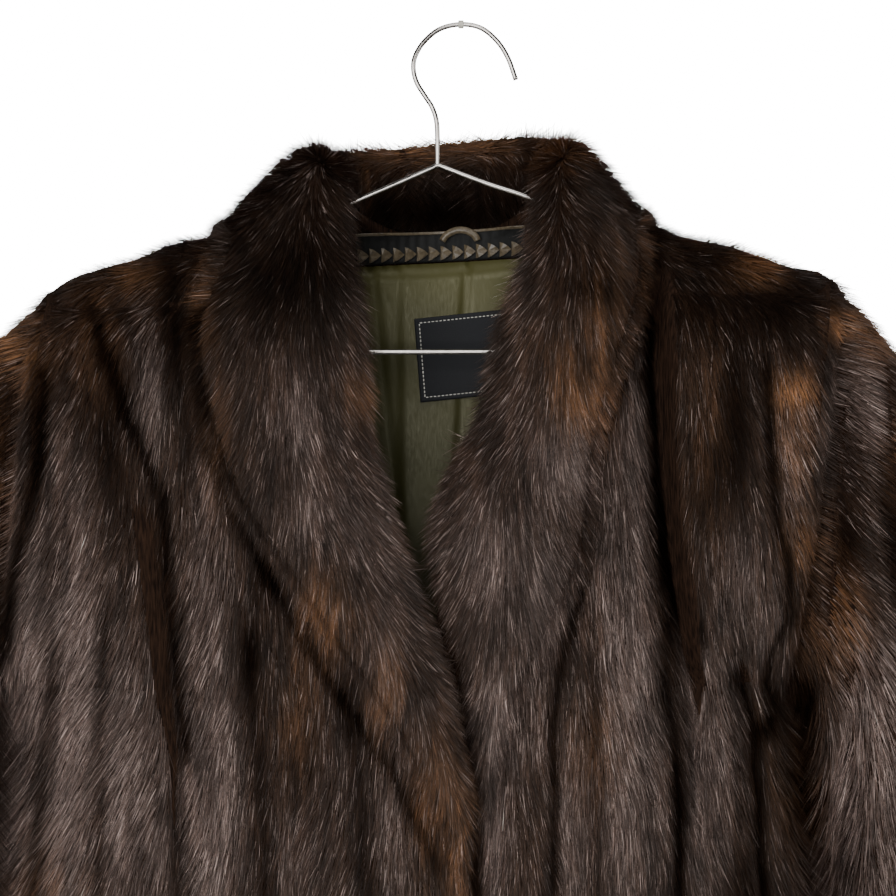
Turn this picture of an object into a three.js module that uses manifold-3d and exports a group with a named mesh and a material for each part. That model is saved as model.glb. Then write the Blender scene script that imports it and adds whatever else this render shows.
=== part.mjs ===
import * as THREE from 'three';
import { mergeVertices } from 'three/addons/utils/BufferGeometryUtils.js';
import Module from 'manifold-3d';

// Millimetres. +X is the viewer's right, -Y is the front, +Z is up.
// The origin is the inside of the hook's top, where the hanger is held.

// Driving sizes
const WALL = 11;             // pelt and its hair
const SEAM = 0.3;            // gap between sewn pieces
const ROOF = 62;             // height over which a shoulder turns into a face
const HEM_Z = -940;
const UNDERARM_Z = -380;
const CENTRE_X = -10.5;
const NECK_HALF = 59.5;      // half the width of the neck hole
const NECK_DROP = 25;        // how far the back neck dips
const NECK_BACK = 40;        // how far the back neck lies behind the shoulder seams
const ARM_DEPTH = 46;        // half the depth of an armhole
const ARM_POWER = 2.3;
const WIRE_R = 1.5;

const FUR_DARK = { color: 0x3b2d26, roughness: 0.78, metalness: 0 };
const FUR_COLLAR = { color: 0x33241c, roughness: 0.78, metalness: 0 };
const SATIN = { color: 0x54503a, roughness: 0.42, metalness: 0 };
const RIBBON = { color: 0x1c1a16, roughness: 0.5, metalness: 0 };
const LABEL = { color: 0x14151b, roughness: 0.7, metalness: 0 };
const BAND = { color: 0xd8d2c2, roughness: 0.4, metalness: 0 };
const CHROME = { color: 0xc1b6b3, roughness: 0.15, metalness: 1 };

// Outline of the shoulders, seen from the front
const SHOULDER = [
  { x: -238, z: -154 }, { x: -219, z: -139 }, { x: -206, z: -134 }, { x: -187, z: -129 },
  { x: -168, z: -121 }, { x: -147, z: -117 }, { x: -122, z: -110 }, { x: -93, z: -100 },
  { x: -70, z: -91 }, { x: -10, z: -78 }, { x: 49, z: -86 }, { x: 81, z: -99 },
  { x: 110, z: -109 }, { x: 128, z: -117 }, { x: 151, z: -121 }, { x: 187, z: -133 },
  { x: 209, z: -142 }, { x: 214, z: -146 },
];

// Side lines of the body below the shoulder points, and its half depths
const BODY = [
  { z: -940, left: -302, right: 240, front: 86, back: 76 },
  { z: -740, left: -285, right: 222, front: 82, back: 71 },
  { z: -500, left: -262, right: 203, front: 77, back: 64 },
  { z: -425, left: -259, right: 197, front: 74, back: 62 },
  { z: -380, left: -258, right: 184, front: 72, back: 60 },
  { z: -250, left: -245, right: 201, front: 67, back: 55 },
  { z: -156, left: -238, right: 213, front: 60, back: 50 },
  { z: -80, left: -238, right: 214, front: 54, back: 46 },
];

// Front edges: the right front lies on top, the left front goes under it
const FRONT_EDGE = [
  { z: -940, right: 7, left: -46 }, { z: -460, right: 4, left: -42 },
  { z: -427, right: 0, left: -36 }, { z: -369, right: -13, left: -22 },
  { z: -329, right: -30, left: -12 }, { z: -296, right: -41, left: -9 },
  { z: -269, right: -50, left: -3 }, { z: -234, right: -59, left: 13 },
  { z: -190, right: -61, left: 27 }, { z: -160, right: -64, left: 34 },
  { z: -130, right: -70, left: 45 }, { z: -90, right: -71, left: 49 },
];

// Folds of the fronts: where each runs, how wide and how deep it is
const FOLDS = [
  { from: -130, to: -470, half: 15, depth: 9,
    path: [[-214, -136], [-202, -193], [-180, -248], [-165, -309], [-156, -379], [-150, -480]] },
  { from: -100, to: -440, half: 12, depth: 14,
    path: [[107, -103], [107, -176], [111, -263], [120, -344], [133, -414], [134, -480]] },
  { from: -330, to: -640, half: 12, depth: 9,
    path: [[139, -332], [151, -361], [165, -402], [169, -454], [170, -504], [172, -640]] },
  { from: -160, to: -560, half: 26, depth: -5,
    path: [[94, -160], [88, -230], [88, -309], [92, -390], [96, -560]] },
];

// Shawl collar over each front: inner roll line and outer fall line
const LAPEL_RIGHT = [
  { rx: -60, rz: -133, fx: -135, fz: -134, thick: 20 },
  { rx: -53, rz: -170, fx: -149, fz: -175, thick: 20 },
  { rx: -50, rz: -205, fx: -147, fz: -208, thick: 19 },
  { rx: -48, rz: -234, fx: -139, fz: -240, thick: 18 },
  { rx: -39, rz: -269, fx: -125, fz: -274, thick: 18 },
  { rx: -29, rz: -303, fx: -101, fz: -309, thick: 17 },
  { rx: -20, rz: -329, fx: -81, fz: -339, thick: 16 },
  { rx: -6, rz: -369, fx: -54, fz: -376, thick: 15 },
  { rx: 0, rz: -402, fx: -29, fz: -415, thick: 13 },
  { rx: 5, rz: -432, fx: -12, fz: -450, thick: 9 },
  { rx: 7, rz: -452, fx: -1, fz: -472, thick: 4 },
];
const LAPEL_LEFT = [
  { rx: 37, rz: -127, fx: 102, fz: -129, thick: 20 },
  { rx: 30, rz: -146, fx: 101, fz: -150, thick: 20 },
  { rx: 21, rz: -170, fx: 97, fz: -173, thick: 20 },
  { rx: 16, rz: -190, fx: 91, fz: -193, thick: 19 },
  { rx: 8, rz: -223, fx: 81, fz: -225, thick: 18 },
  { rx: -6, rz: -249, fx: 75, fz: -254, thick: 18 },
  { rx: -16, rz: -276, fx: 73, fz: -282, thick: 17 },
  { rx: -18, rz: -297, fx: 69, fz: -304, thick: 16 },
  { rx: -15, rz: -324, fx: 58, fz: -331, thick: 15 },
  { rx: -8, rz: -346, fx: 46, fz: -358, thick: 13 },
  { rx: 1, rz: -370, fx: 31, fz: -386, thick: 11 },
  { rx: 7, rz: -402, fx: 21, fz: -417, thick: 8 },
  { rx: 12, rz: -430, fx: 17, fz: -443, thick: 4 },
];

// The collar from the centre back round to the side of the neck, on the right half.
// Base inside, crest, and fall; the left half has its own side rows.
const NECK_RIGHT = [
  { base: [-10.7, 41, -113], inner: [-10.7, 44, -86], crest: [-10.7, 57, -57],
    outer: [-10.7, 80, -90], fall: [-10.7, 84, -134], under: [-10.7, 54, -130] },
  { base: [-50, 30, -104], inner: [-50, 34, -84], crest: [-54, 46, -62],
    outer: [-66, 72, -94], fall: [-72, 80, -138], under: [-60, 50, -126] },
  { base: [-68, 4, -91], inner: [-64, 6, -81], crest: [-80, 10, -67],
    outer: [-108, 18, -86], fall: [-136, 24, -118], under: [-100, 10, -104] },
  { base: [-66, -24, -102], inner: [-62, -34, -96], crest: [-82, -40, -78],
    outer: [-115, -38, -104], fall: [-134, -36, -126], under: [-98, -26, -116] },
];
const NECK_LEFT = [
  { base: [-10.3, 41, -113], inner: [-10.3, 44, -86], crest: [-10.3, 57, -57],
    outer: [-10.3, 80, -90], fall: [-10.3, 84, -134], under: [-10.3, 54, -130] },
  { base: [29, 30, -102], inner: [29, 34, -80], crest: [34, 46, -54],
    outer: [46, 72, -90], fall: [52, 80, -136], under: [40, 50, -126] },
  { base: [47, 4, -87], inner: [44, 6, -77], crest: [60, 10, -60],
    outer: [83, 18, -87], fall: [104, 24, -112], under: [76, 10, -102] },
  { base: [45, -24, -98], inner: [41, -34, -91], crest: [60, -40, -75],
    outer: [90, -38, -101], fall: [102, -36, -120], under: [76, -26, -114] },
];

// Sleeves: inner and outer line seen from the front, and half depth
const SLEEVE_RIGHT = [
  { inner: [-258, -380], outer: [-238, -154], depth: 46 },
  { inner: [-259.5, -384], outer: [-254, -166], depth: 50 },
  { inner: [-261, -390], outer: [-285, -197], depth: 54 },
  { inner: [-262, -398], outer: [-318, -242], depth: 57 },
  { inner: [-263, -408], outer: [-350, -300], depth: 58 },
  { inner: [-263, -424], outer: [-376, -362], depth: 58 },
  { inner: [-264, -458], outer: [-392, -428], depth: 57 },
  { inner: [-266, -520], outer: [-403, -510], depth: 56 },
  { inner: [-276, -620], outer: [-412, -618], depth: 54 },
  { inner: [-284, -690], outer: [-414, -690], depth: 52 },
  { inner: [-291, -745], outer: [-416, -745], depth: 52 },
];
const SLEEVE_LEFT = [
  { inner: [184, -380], outer: [214, -146], depth: 46 },
  { inner: [187, -384], outer: [231, -160], depth: 50 },
  { inner: [191, -390], outer: [257, -191], depth: 54 },
  { inner: [195, -398], outer: [288, -233], depth: 57 },
  { inner: [198, -408], outer: [318, -290], depth: 58 },
  { inner: [201, -426], outer: [337, -352], depth: 58 },
  { inner: [203.5, -462], outer: [348, -424], depth: 57 },
  { inner: [208, -528], outer: [355, -512], depth: 56 },
  { inner: [219, -625], outer: [361, -620], depth: 54 },
  { inner: [229, -695], outer: [363, -692], depth: 52 },
  { inner: [236, -748], outer: [365, -748], depth: 52 },
];

// Wire of the hanger
const HOOK = [
  [31.9, -30.7], [27.3, -18], [20.9, -8.1], [11.6, -0.6], [0, 1.5], [-12.2, -1.2],
  [-21.5, -8.7], [-26.7, -17.4], [-27.5, -24.9], [-25.5, -32.5], [-20.9, -40],
  [-16.8, -46.4], [-14.2, -54.5], [-13.6, -65.5], [-13.6, -81],
];
const ARMS = [
  [-13.6, -188.5], [-206, -188.5], [-218, -185], [-223.5, -175], [-217, -162], [-196, -152.5],
  [-147, -135], [-100, -117], [-66, -103], [-40, -92], [-13.6, -80.6],
  [14, -89.5], [42, -99.8], [80, -115.5], [128, -133], [169, -147], [190, -156],
  [196.5, -168], [193, -181], [181, -188.5],
];

// Smooth line through the rows of a table
function reader(rows, key, value) {
  const points = rows.map((row) => [row[key], row[value]]).sort((a, b) => a[0] - b[0]);
  const step = points.slice(1).map((p, i) => (p[1] - points[i][1]) / (p[0] - points[i][0]));
  const slope = points.map((p, i) => {
    if (i === 0) return step[0];
    if (i === points.length - 1) return step[i - 1];
    if (step[i - 1] * step[i] <= 0) return 0;
    return (2 * step[i - 1] * step[i]) / (step[i - 1] + step[i]);
  });
  return (t) => {
    if (t <= points[0][0]) return points[0][1];
    if (t >= points[points.length - 1][0]) return points[points.length - 1][1];
    let i = 0;
    while (t > points[i + 1][0]) i += 1;
    const span = points[i + 1][0] - points[i][0];
    const q = (t - points[i][0]) / span;
    const h1 = q * q * (3 - 2 * q);
    const h2 = q * (1 - q) * (1 - q);
    const h3 = q * q * (q - 1);
    const line = points[i][1] * (1 - h1) + points[i + 1][1] * h1;
    return line + span * (slope[i] * h2 + slope[i + 1] * h3);
  };
}

const clamp01 = (t) => Math.min(1, Math.max(0, t));
const smooth = (t) => clamp01(t) * clamp01(t) * (3 - 2 * clamp01(t));
const mix = (a, b, t) => a + (b - a) * t;

const shoulderZ = reader(SHOULDER, 'x', 'z');
const depthFront = reader(BODY, 'z', 'front');
const depthBack = reader(BODY, 'z', 'back');
const sideLeft = reader(BODY.filter((row) => row.z <= UNDERARM_Z), 'z', 'left');
const sideRight = reader(BODY.filter((row) => row.z <= UNDERARM_Z), 'z', 'right');
const edgeRight = reader(FRONT_EDGE, 'z', 'right');
const edgeLeft = reader(FRONT_EDGE, 'z', 'left');

// An armhole is a flat oval between the shoulder point and the underarm
function armhole(rows) {
  const [low, high] = [rows[0].inner, rows[0].outer];
  const middle = (low[1] + high[1]) / 2;
  const half = (high[1] - low[1]) / 2;
  return {
    top: high[1],
    middle,
    half,
    x: (z) => mix(low[0], high[0], clamp01((z - low[1]) / (2 * half))),
    y: (z, trim) => {
      const t = Math.min(1, Math.abs(z - middle) / (half - trim));
      return (ARM_DEPTH - trim) * (1 - t ** ARM_POWER) ** (1 / ARM_POWER);
    },
  };
}
const ARM_RIGHT = armhole(SLEEVE_RIGHT);
const ARM_LEFT = armhole(SLEEVE_LEFT);

const leftEdge = (z) => (z > UNDERARM_Z ? ARM_RIGHT.x(z) : sideLeft(z));
const rightEdge = (z) => (z > UNDERARM_Z ? ARM_LEFT.x(z) : sideRight(z));

const foldLines = FOLDS.map((fold) => ({
  ...fold,
  x: reader(fold.path.map(([x, z]) => ({ x, z })), 'z', 'x'),
}));

// How far the folds press a front in at a place
function foldDepth(x, z) {
  let sum = 0;
  foldLines.forEach((fold) => {
    const fade = smooth((fold.from - z) / 50) * smooth((z - fold.to) / 110);
    const off = (x - fold.x(z)) / fold.half;
    sum += fold.depth * fade * Math.exp(-off * off);
  });
  return sum;
}

// Soft waves that grow toward the hem
function hemWave(x, z, shift) {
  const grow = smooth((-z - 430) / 450) * (1 - 0.9 * Math.exp(-(((x + 16) / 42) ** 2)));
  return grow * (6 * Math.sin(x / 19 + shift) + 2.5 * Math.sin(x / 12 + 2 * shift));
}

// Top line of the back panel, which dips at the neck
function backTop(x) {
  const t = (x - CENTRE_X) / NECK_HALF;
  if (Math.abs(t) >= 1) return shoulderZ(x);
  return mix(shoulderZ(CENTRE_X + Math.sign(t) * NECK_HALF), -90 - NECK_DROP, (1 - t * t) ** 0.8);
}
function backRidge(x) {
  const t = (x - CENTRE_X) / NECK_HALF;
  return Math.abs(t) >= 1 ? 0 : NECK_BACK * (1 - t * t) ** 0.7;
}

// How far a face stands from the middle plane: side is -1 in front and 1 behind
function faceDepth(side, x, z, top, trim) {
  const [left, right] = [leftEdge(z), rightEdge(z)];
  const half = (right - left) / 2;
  const s = Math.min(1, Math.abs(x - (left + right) / 2) / half);
  const arm = x < CENTRE_X ? ARM_RIGHT : ARM_LEFT;
  const edge = s ** 4;
  const turn = clamp01((top - z) / ROOF);
  const roof = Math.sqrt(Math.max(0, 1 - (1 - turn) * (1 - turn)));
  const ridge = side > 0 ? backRidge(x) : 0;
  const full = (side > 0 ? depthBack(z) : depthFront(z)) - trim - ridge;
  const round = (1 - s ** 3.2) ** (1 / 2.2);
  const inArm = z > UNDERARM_Z && z < arm.top ? arm.y(z, trim) : 0;
  const press = side > 0 ? 0 : foldDepth(x, z);
  const wave = hemWave(x, z, side > 0 ? 2.1 : 0.4);
  const free = (1 - s ** 6) * roof;
  return ridge + full * roof * round + inArm * edge - free * (press + wave);
}

// Inside face of a panel at the same place of its grid
function innerPlace(x, z, top, column) {
  const [left, right] = [leftEdge(z), rightEdge(z)];
  const middle = (left + right) / 2;
  const half = (right - left) / 2;
  const s = (x - middle) / half;
  const arm = x < CENTRE_X ? ARM_RIGHT : ARM_LEFT;
  const edge = Math.abs(s) ** 4;
  const fromTop = WALL * clamp01(1 - (top - z) / 90);
  const fromArm = z > UNDERARM_Z
    ? ((z - arm.middle) * WALL) / arm.half
    : -WALL * clamp01(1 - (UNDERARM_Z - z) / 60);
  const below = smooth((UNDERARM_Z - z) / 40);
  const zIn = z - mix(fromTop, fromArm, column ? 1 : edge);
  const [leftIn, rightIn] = [leftEdge(zIn), rightEdge(zIn)];
  return { x: (leftIn + rightIn) / 2 + s * ((rightIn - leftIn) / 2 - WALL * below), z: zIn };
}

// A closed thin body from two grids of points
function shell(rows, columns, outer, inner, loop) {
  const positions = [];
  const wide = loop ? columns : columns + 1;
  const at = (face, i, j) => face * (rows + 1) * wide + i * wide + (loop ? j % columns : j);
  [outer, inner].forEach((face) => {
    for (let i = 0; i <= rows; i += 1) {
      for (let j = 0; j < wide; j += 1) positions.push(...face(i, j));
    }
  });
  const index = [];
  const quad = (a, b, c, d) => index.push(a, b, c, a, c, d);
  for (let i = 0; i < rows; i += 1) {
    for (let j = 0; j < columns; j += 1) {
      quad(at(0, i, j), at(0, i + 1, j), at(0, i + 1, j + 1), at(0, i, j + 1));
      quad(at(1, i, j), at(1, i, j + 1), at(1, i + 1, j + 1), at(1, i + 1, j));
    }
  }
  for (let j = 0; j < columns; j += 1) {
    quad(at(0, 0, j), at(0, 0, j + 1), at(1, 0, j + 1), at(1, 0, j));
    quad(at(0, rows, j + 1), at(0, rows, j), at(1, rows, j), at(1, rows, j + 1));
  }
  if (!loop) {
    for (let i = 0; i < rows; i += 1) {
      quad(at(0, i + 1, 0), at(0, i, 0), at(1, i, 0), at(1, i + 1, 0));
      quad(at(0, i, columns), at(0, i + 1, columns), at(1, i + 1, columns), at(1, i, columns));
    }
  }
  return finish(positions, index);
}

// A closed body from a row of rings
function swept(rings) {
  const positions = rings.flat(2);
  const count = rings[0].length;
  const index = [];
  for (let i = 0; i < rings.length - 1; i += 1) {
    for (let j = 0; j < count; j += 1) {
      const [a, b] = [i * count + j, i * count + ((j + 1) % count)];
      index.push(a, b, b + count, a, b + count, a + count);
    }
  }
  const last = (rings.length - 1) * count;
  for (let j = 1; j < count - 1; j += 1) {
    index.push(0, j + 1, j, last, last + j, last + j + 1);
  }
  return finish(positions, index);
}

function finish(positions, index) {
  let volume = 0;
  const point = (k) => new THREE.Vector3(...positions.slice(3 * k, 3 * k + 3));
  for (let k = 0; k < index.length; k += 3) {
    volume += point(index[k]).dot(point(index[k + 1]).cross(point(index[k + 2])));
  }
  if (volume < 0) {
    for (let k = 0; k < index.length; k += 3) {
      [index[k + 1], index[k + 2]] = [index[k + 2], index[k + 1]];
    }
  }
  const geometry = new THREE.BufferGeometry();
  geometry.setAttribute('position', new THREE.Float32BufferAttribute(positions, 3));
  geometry.setIndex(index);
  return geometry;
}

// Grid lines of a panel: a column runs from the top line to the hem
const UPPER_ROWS = 11;
const LOWER_ROWS = 9;
const ROWS = UPPER_ROWS + LOWER_ROWS;
const levels = (top, i) => (i <= UPPER_ROWS
  ? mix(top, UNDERARM_Z, (i / UPPER_ROWS) ** 1.25)
  : mix(UNDERARM_Z, HEM_Z, (i - UPPER_ROWS) / LOWER_ROWS));

function topOfColumn(xAt, line) {
  let z = -120;
  for (let k = 0; k < 12; k += 1) z = line(xAt(z));
  return z;
}

// One body panel; grow swells it outward for cutting what lies on it
function panel(spec, grow) {
  const { side, columns, start, end, line, tuck } = spec;
  const reach = side < 0 ? grow / 230 : 0;
  const place = (i, j) => {
    const u = j === 0 ? -reach : j / columns;
    const xAt = (z) => mix(start(z), end(z), u);
    const top = topOfColumn(xAt, line);
    const z = levels(top, i);
    return { x: xAt(z), z, top, last: (spec.armFirst && j === 0) || j === columns };
  };
  const lift = (p) => (tuck ? tuck(p.x, p.z) : 0);
  const outer = (i, j) => {
    const p = place(i, j);
    const depth = faceDepth(side, p.x, p.z, p.top, 0) - lift(p) + grow;
    const lip = side > 0 ? 4 * grow : grow;
    if (i === 0) return [p.x, side * (SEAM / 2 + depth - 3 * grow), p.z + lip];
    return [p.x, side * (SEAM / 2 + depth), p.z];
  };
  const inner = (i, j) => {
    const p = place(i, j);
    const q = innerPlace(p.x, p.z, p.top, p.last);
    const deep = faceDepth(side, p.x, p.z, p.top, WALL) - lift(p);
    return [q.x, side * (SEAM / 2 + Math.max(0, deep) - grow), q.z];
  };
  return shell(ROWS, columns, outer, inner, false);
}

const UNDERLAP = WALL + 1.6;
const tuckUnder = (x, z) => UNDERLAP * smooth((edgeRight(z) + 34 - x) / 30);
const FRONT_R = {
  side: -1, columns: 13, start: edgeRight, end: leftEdge, line: shoulderZ,
};
const FRONT_L = {
  side: -1, columns: 13, start: edgeLeft, end: rightEdge, line: shoulderZ, tuck: tuckUnder,
};
const BACK = {
  side: 1, columns: 20, start: leftEdge, end: rightEdge, line: backTop, armFirst: true,
};

// A sleeve is a tube of ovals that turn from the armhole down to the cuff
function sleeve(rows, away) {
  const around = 16;
  const steps = 13;
  const table = rows.map((row, i) => ({
    t: i, ix: row.inner[0], iz: row.inner[1], ox: row.outer[0], oz: row.outer[1], d: row.depth,
  }));
  const read = ['ix', 'iz', 'ox', 'oz', 'd'].map((name) => reader(table, 't', name));
  const place = (trim) => (i, j) => {
    const t = (i / steps) * (rows.length - 1);
    const [ix, iz, ox, oz, d] = read.map((f) => f(t));
    const length = Math.hypot(ox - ix, oz - iz);
    const half = length / 2 - trim;
    const angle = (2 * Math.PI * j) / around;
    const c = Math.sign(Math.cos(angle)) * Math.abs(Math.cos(angle)) ** (2 / ARM_POWER);
    const s = Math.sign(Math.sin(angle)) * Math.abs(Math.sin(angle)) ** (2 / ARM_POWER);
    const shift = away * SEAM * 1.5 * clamp01(1 - i / 3);
    return [
      (ix + ox) / 2 + ((ox - ix) / length) * half * c + shift,
      (d - trim) * s,
      (iz + oz) / 2 + ((oz - iz) / length) * half * c,
    ];
  };
  return shell(steps, around, place(0), place(WALL), true);
}

// Closed smooth ring through six guide points of a collar section
function ringThrough(guides, count) {
  const curve = new THREE.CatmullRomCurve3(
    guides.map((p) => new THREE.Vector3(...p)), true, 'centripetal',
  );
  return Array.from({ length: count }, (_, k) => curve.getPoint(k / count).toArray());
}

function collar(neck, lapel, tuck) {
  const frontY = (x, z) => -(SEAM / 2
    + faceDepth(-1, x, z, shoulderZ(x), 0) - (tuck ? tuck(x, z) : 0));
  const sections = neck.map((row) => [
    row.base, row.inner, row.crest, row.outer, row.fall, row.under,
  ]);
  lapel.forEach((row) => {
    const at = (t, up) => {
      const x = mix(row.rx, row.fx, t);
      const z = mix(row.rz, row.fz, t);
      return [x, frontY(x, z) - up, z];
    };
    sections.push([
      at(0.05, -5), at(0, row.thick * 0.45), at(0.22, row.thick), at(0.7, row.thick * 0.85),
      at(1, row.thick * 0.2), at(0.8, -5),
    ]);
  });
  const steps = 26;
  const guides = [0, 1, 2, 3, 4, 5].map((k) => new THREE.CatmullRomCurve3(
    sections.map((section) => new THREE.Vector3(...section[k])), false, 'centripetal',
  ));
  const rings = Array.from({ length: steps + 1 }, (_, i) => ringThrough(
    guides.map((curve) => curve.getPoint(i / steps).toArray()), 14,
  ));
  return swept(rings);
}

const wasm = await Module();
wasm.setup();

function solid(geometry) {
  const plain = mergeVertices(geometry.clone(), 1e-5);
  return new wasm.Manifold(new wasm.Mesh({
    numProp: 3,
    vertProperties: new Float32Array(plain.attributes.position.array),
    triVerts: new Uint32Array(plain.index.array),
  }));
}

function fromSolid(body) {
  const mesh = body.getMesh();
  const geometry = new THREE.BufferGeometry();
  geometry.setAttribute('position', new THREE.Float32BufferAttribute(mesh.vertProperties, 3));
  geometry.setIndex(Array.from(mesh.triVerts));
  return geometry;
}

// Round wire along a line in the middle plane
function wire(points, radius, steps, closed) {
  const path = new THREE.CatmullRomCurve3(
    points.map(([x, z]) => new THREE.Vector3(x, 0, z)), closed, 'centripetal',
  );
  const round = new THREE.Shape();
  round.absarc(0, 0, radius, 0, 2 * Math.PI);
  const geometry = new THREE.ExtrudeGeometry(round, {
    steps, extrudePath: path, curveSegments: 4, bevelEnabled: false,
  });
  geometry.deleteAttribute('normal');
  geometry.deleteAttribute('uv');
  return mergeVertices(geometry, 1e-4);
}

// Inside face of the back panel at a place
function backInside(x, z) {
  const drop = WALL * clamp01(1 - (backTop(x) - z) / 90);
  return SEAM / 2 + Math.max(0, faceDepth(1, x, z + drop, backTop(x), WALL));
}

// A flat piece hung in front of that face, from its top line to its bottom line
function hung({ columns, rows, near, thick, x, top, bottom }) {
  const place = (gap) => (i, j) => {
    const u = j / columns;
    const [z0, z1] = [top(x(u, -200), j), bottom(x(u, -200), j)];
    const z = mix(z0, z1, i / rows);
    return [x(u, z), backInside(x(u, z), z) - gap, z];
  };
  return shell(rows, columns, place(near + thick), place(near), false);
}

const group = new THREE.Group();
function add(name, geometry, look) {
  const mesh = new THREE.Mesh(geometry, new THREE.MeshStandardMaterial(look));
  mesh.name = name;
  group.add(mesh);
}

const frontRight = panel(FRONT_R, 0);
const frontLeft = panel(FRONT_L, 0);
const back = panel(BACK, 0);
add('back', back, FUR_DARK);
add('front_right', frontRight, FUR_DARK);
add('front_left', frontLeft, FUR_DARK);
add('sleeve_right', sleeve(SLEEVE_RIGHT, -1), FUR_DARK);
add('sleeve_left', sleeve(SLEEVE_LEFT, 1), FUR_DARK);

const cutters = [FRONT_R, FRONT_L, BACK].map((spec) => solid(panel(spec, SEAM)));
const trimmed = (geometry) => cutters
  .reduce((body, cutter) => body.subtract(cutter), solid(geometry))
  .decompose()
  .sort((a, b) => b.volume() - a.volume())[0];
const collarRight = trimmed(collar(NECK_RIGHT, LAPEL_RIGHT, null));
const collarLeft = trimmed(collar(NECK_LEFT, LAPEL_LEFT, tuckUnder));
add('collar_right', fromSolid(collarRight), FUR_COLLAR);
add('collar_left', fromSolid(collarLeft), FUR_COLLAR);

// What shows inside the neck
const LINING_GAP = 3.5;
const LINING_THICK = 1;
const neckTilt = (x) => 0.05 * (x - CENTRE_X);
const trimX = (u) => mix(-62, 38, u);
const lining = hung({
  columns: 12,
  rows: 10,
  near: LINING_GAP,
  thick: LINING_THICK,
  x: (u, z) => mix(leftEdge(z), rightEdge(z), mix(0.12, 0.88, u)),
  top: (x) => Math.min(-134.5 + neckTilt(x), shoulderZ(x) - 44),
  bottom: () => HEM_Z + 35,
});
const ribbon = hung({
  columns: 14,
  rows: 2,
  near: 3,
  thick: 1,
  x: trimX,
  top: (x) => -116 + neckTilt(x),
  bottom: (x) => -133.6 + neckTilt(x),
});
const braid = hung({
  columns: 28,
  rows: 1,
  near: 4.6,
  thick: 1.4,
  x: trimX,
  top: (x, j) => (j % 2 ? -123.5 : -126.5) + neckTilt(x),
  bottom: (x, j) => (j % 2 ? -129 : -132.5) + neckTilt(x),
});
add('lining_back', fromSolid(trimmed(lining)), SATIN);
add('neck_ribbon', fromSolid(trimmed(ribbon)), RIBBON);
add('neck_braid', fromSolid(trimmed(braid)), SATIN);

// Hanging loop: a narrow band that arches over the ribbon
const LOOP = [[-11, -121.5], [-8, -117.5], [0, -115], [7, -117], [10, -121]];
const loopPath = new THREE.CatmullRomCurve3(LOOP.map(
  ([x, z]) => new THREE.Vector3(x, backInside(x, -121) - 7, z),
));
const band = new THREE.Shape();
band.moveTo(-2, -0.6).lineTo(2, -0.6).lineTo(2, 0.6).lineTo(-2, 0.6).closePath();
const loop = new THREE.ExtrudeGeometry(band, {
  steps: 14, extrudePath: loopPath, bevelEnabled: false,
});
loop.deleteAttribute('normal');
loop.deleteAttribute('uv');
add('hanging_loop', mergeVertices(loop, 1e-4), SATIN);

// Label: a leaning rectangle sewn to the lining
const labelPlace = (gap) => (i, j) => {
  const [across, down] = [j / 7, i / 6];
  const x = -27.6 + 57 * across + 3.8 * down;
  const z = -167.7 + 6 * across - 49.5 * down;
  return [x, backInside(x, z) - gap, z];
};
const labelNear = LINING_GAP + LINING_THICK + 1.6;
add('label', shell(6, 7, labelPlace(labelNear + 0.8), labelPlace(labelNear), false), LABEL);

// Hanger: the hook and the shoulders with their bottom bar are one wire
const hangerWire = solid(wire(HOOK, WIRE_R, 32, false)).add(solid(wire(ARMS, WIRE_R, 58, true)));
add('hanger', fromSolid(hangerWire), CHROME);

// Small pale band round the top of the hook
const bandRing = new THREE.LatheGeometry([
  new THREE.Vector2(WIRE_R + 0.3, -1.6), new THREE.Vector2(WIRE_R + 0.9, -1.6),
  new THREE.Vector2(WIRE_R + 0.9, 1.6), new THREE.Vector2(WIRE_R + 0.3, 1.6),
  new THREE.Vector2(WIRE_R + 0.3, -1.6),
], 14);
bandRing.deleteAttribute('normal');
bandRing.deleteAttribute('uv');
bandRing.rotateZ(Math.PI / 2);
bandRing.translate(0, 0, WIRE_R);
add('hook_band', mergeVertices(bandRing, 1e-4), BAND);

export default group;
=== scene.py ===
import math

import bpy
import numpy as np
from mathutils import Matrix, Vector


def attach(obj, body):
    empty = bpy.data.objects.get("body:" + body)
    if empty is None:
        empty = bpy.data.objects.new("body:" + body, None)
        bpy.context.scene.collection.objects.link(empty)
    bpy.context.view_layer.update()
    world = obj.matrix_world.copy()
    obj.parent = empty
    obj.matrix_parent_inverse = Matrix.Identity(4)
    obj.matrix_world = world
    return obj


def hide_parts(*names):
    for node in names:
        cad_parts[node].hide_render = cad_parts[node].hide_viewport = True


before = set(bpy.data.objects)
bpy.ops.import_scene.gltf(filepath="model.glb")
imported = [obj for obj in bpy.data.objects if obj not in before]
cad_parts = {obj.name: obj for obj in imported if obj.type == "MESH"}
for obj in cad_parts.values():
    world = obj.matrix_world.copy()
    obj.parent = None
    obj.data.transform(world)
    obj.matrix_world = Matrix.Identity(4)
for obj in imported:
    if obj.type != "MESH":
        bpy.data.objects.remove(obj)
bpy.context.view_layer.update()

# Sizes, in millimetres
WALL = 11.0            # pelt, lining and pile together
PILE = 5.0             # depth of the pelt's skin below the reach of the hair
SEAM = 0.3             # between two pieces that are sewn together
ROOF = 62.0            # how far the body rounds over below its top line
HEM_Z = -940.0
UNDERARM_Z = -380.0
CENTRE_X = -10.5       # middle of the coat, which hangs a little askew
NECK_HALF = 59.5
NECK_DROP = 25.0
NECK_BACK = 40.0
ARM_DEPTH = 46.0       # half the depth of an armhole
ARM_POWER = 2.3        # how square its outline is
WIRE_R = 1.5
UNDERLAP = WALL + 1.6  # the left front lies this far behind the right one
EYE_X, EYE_Y, EYE_Z = -7.5, -1500.0, -244.2
FRAME_WIDE = 519.7     # width of the view at the coat's middle plane
PIXEL = 0.58           # one unit of the tables of tints below

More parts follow.
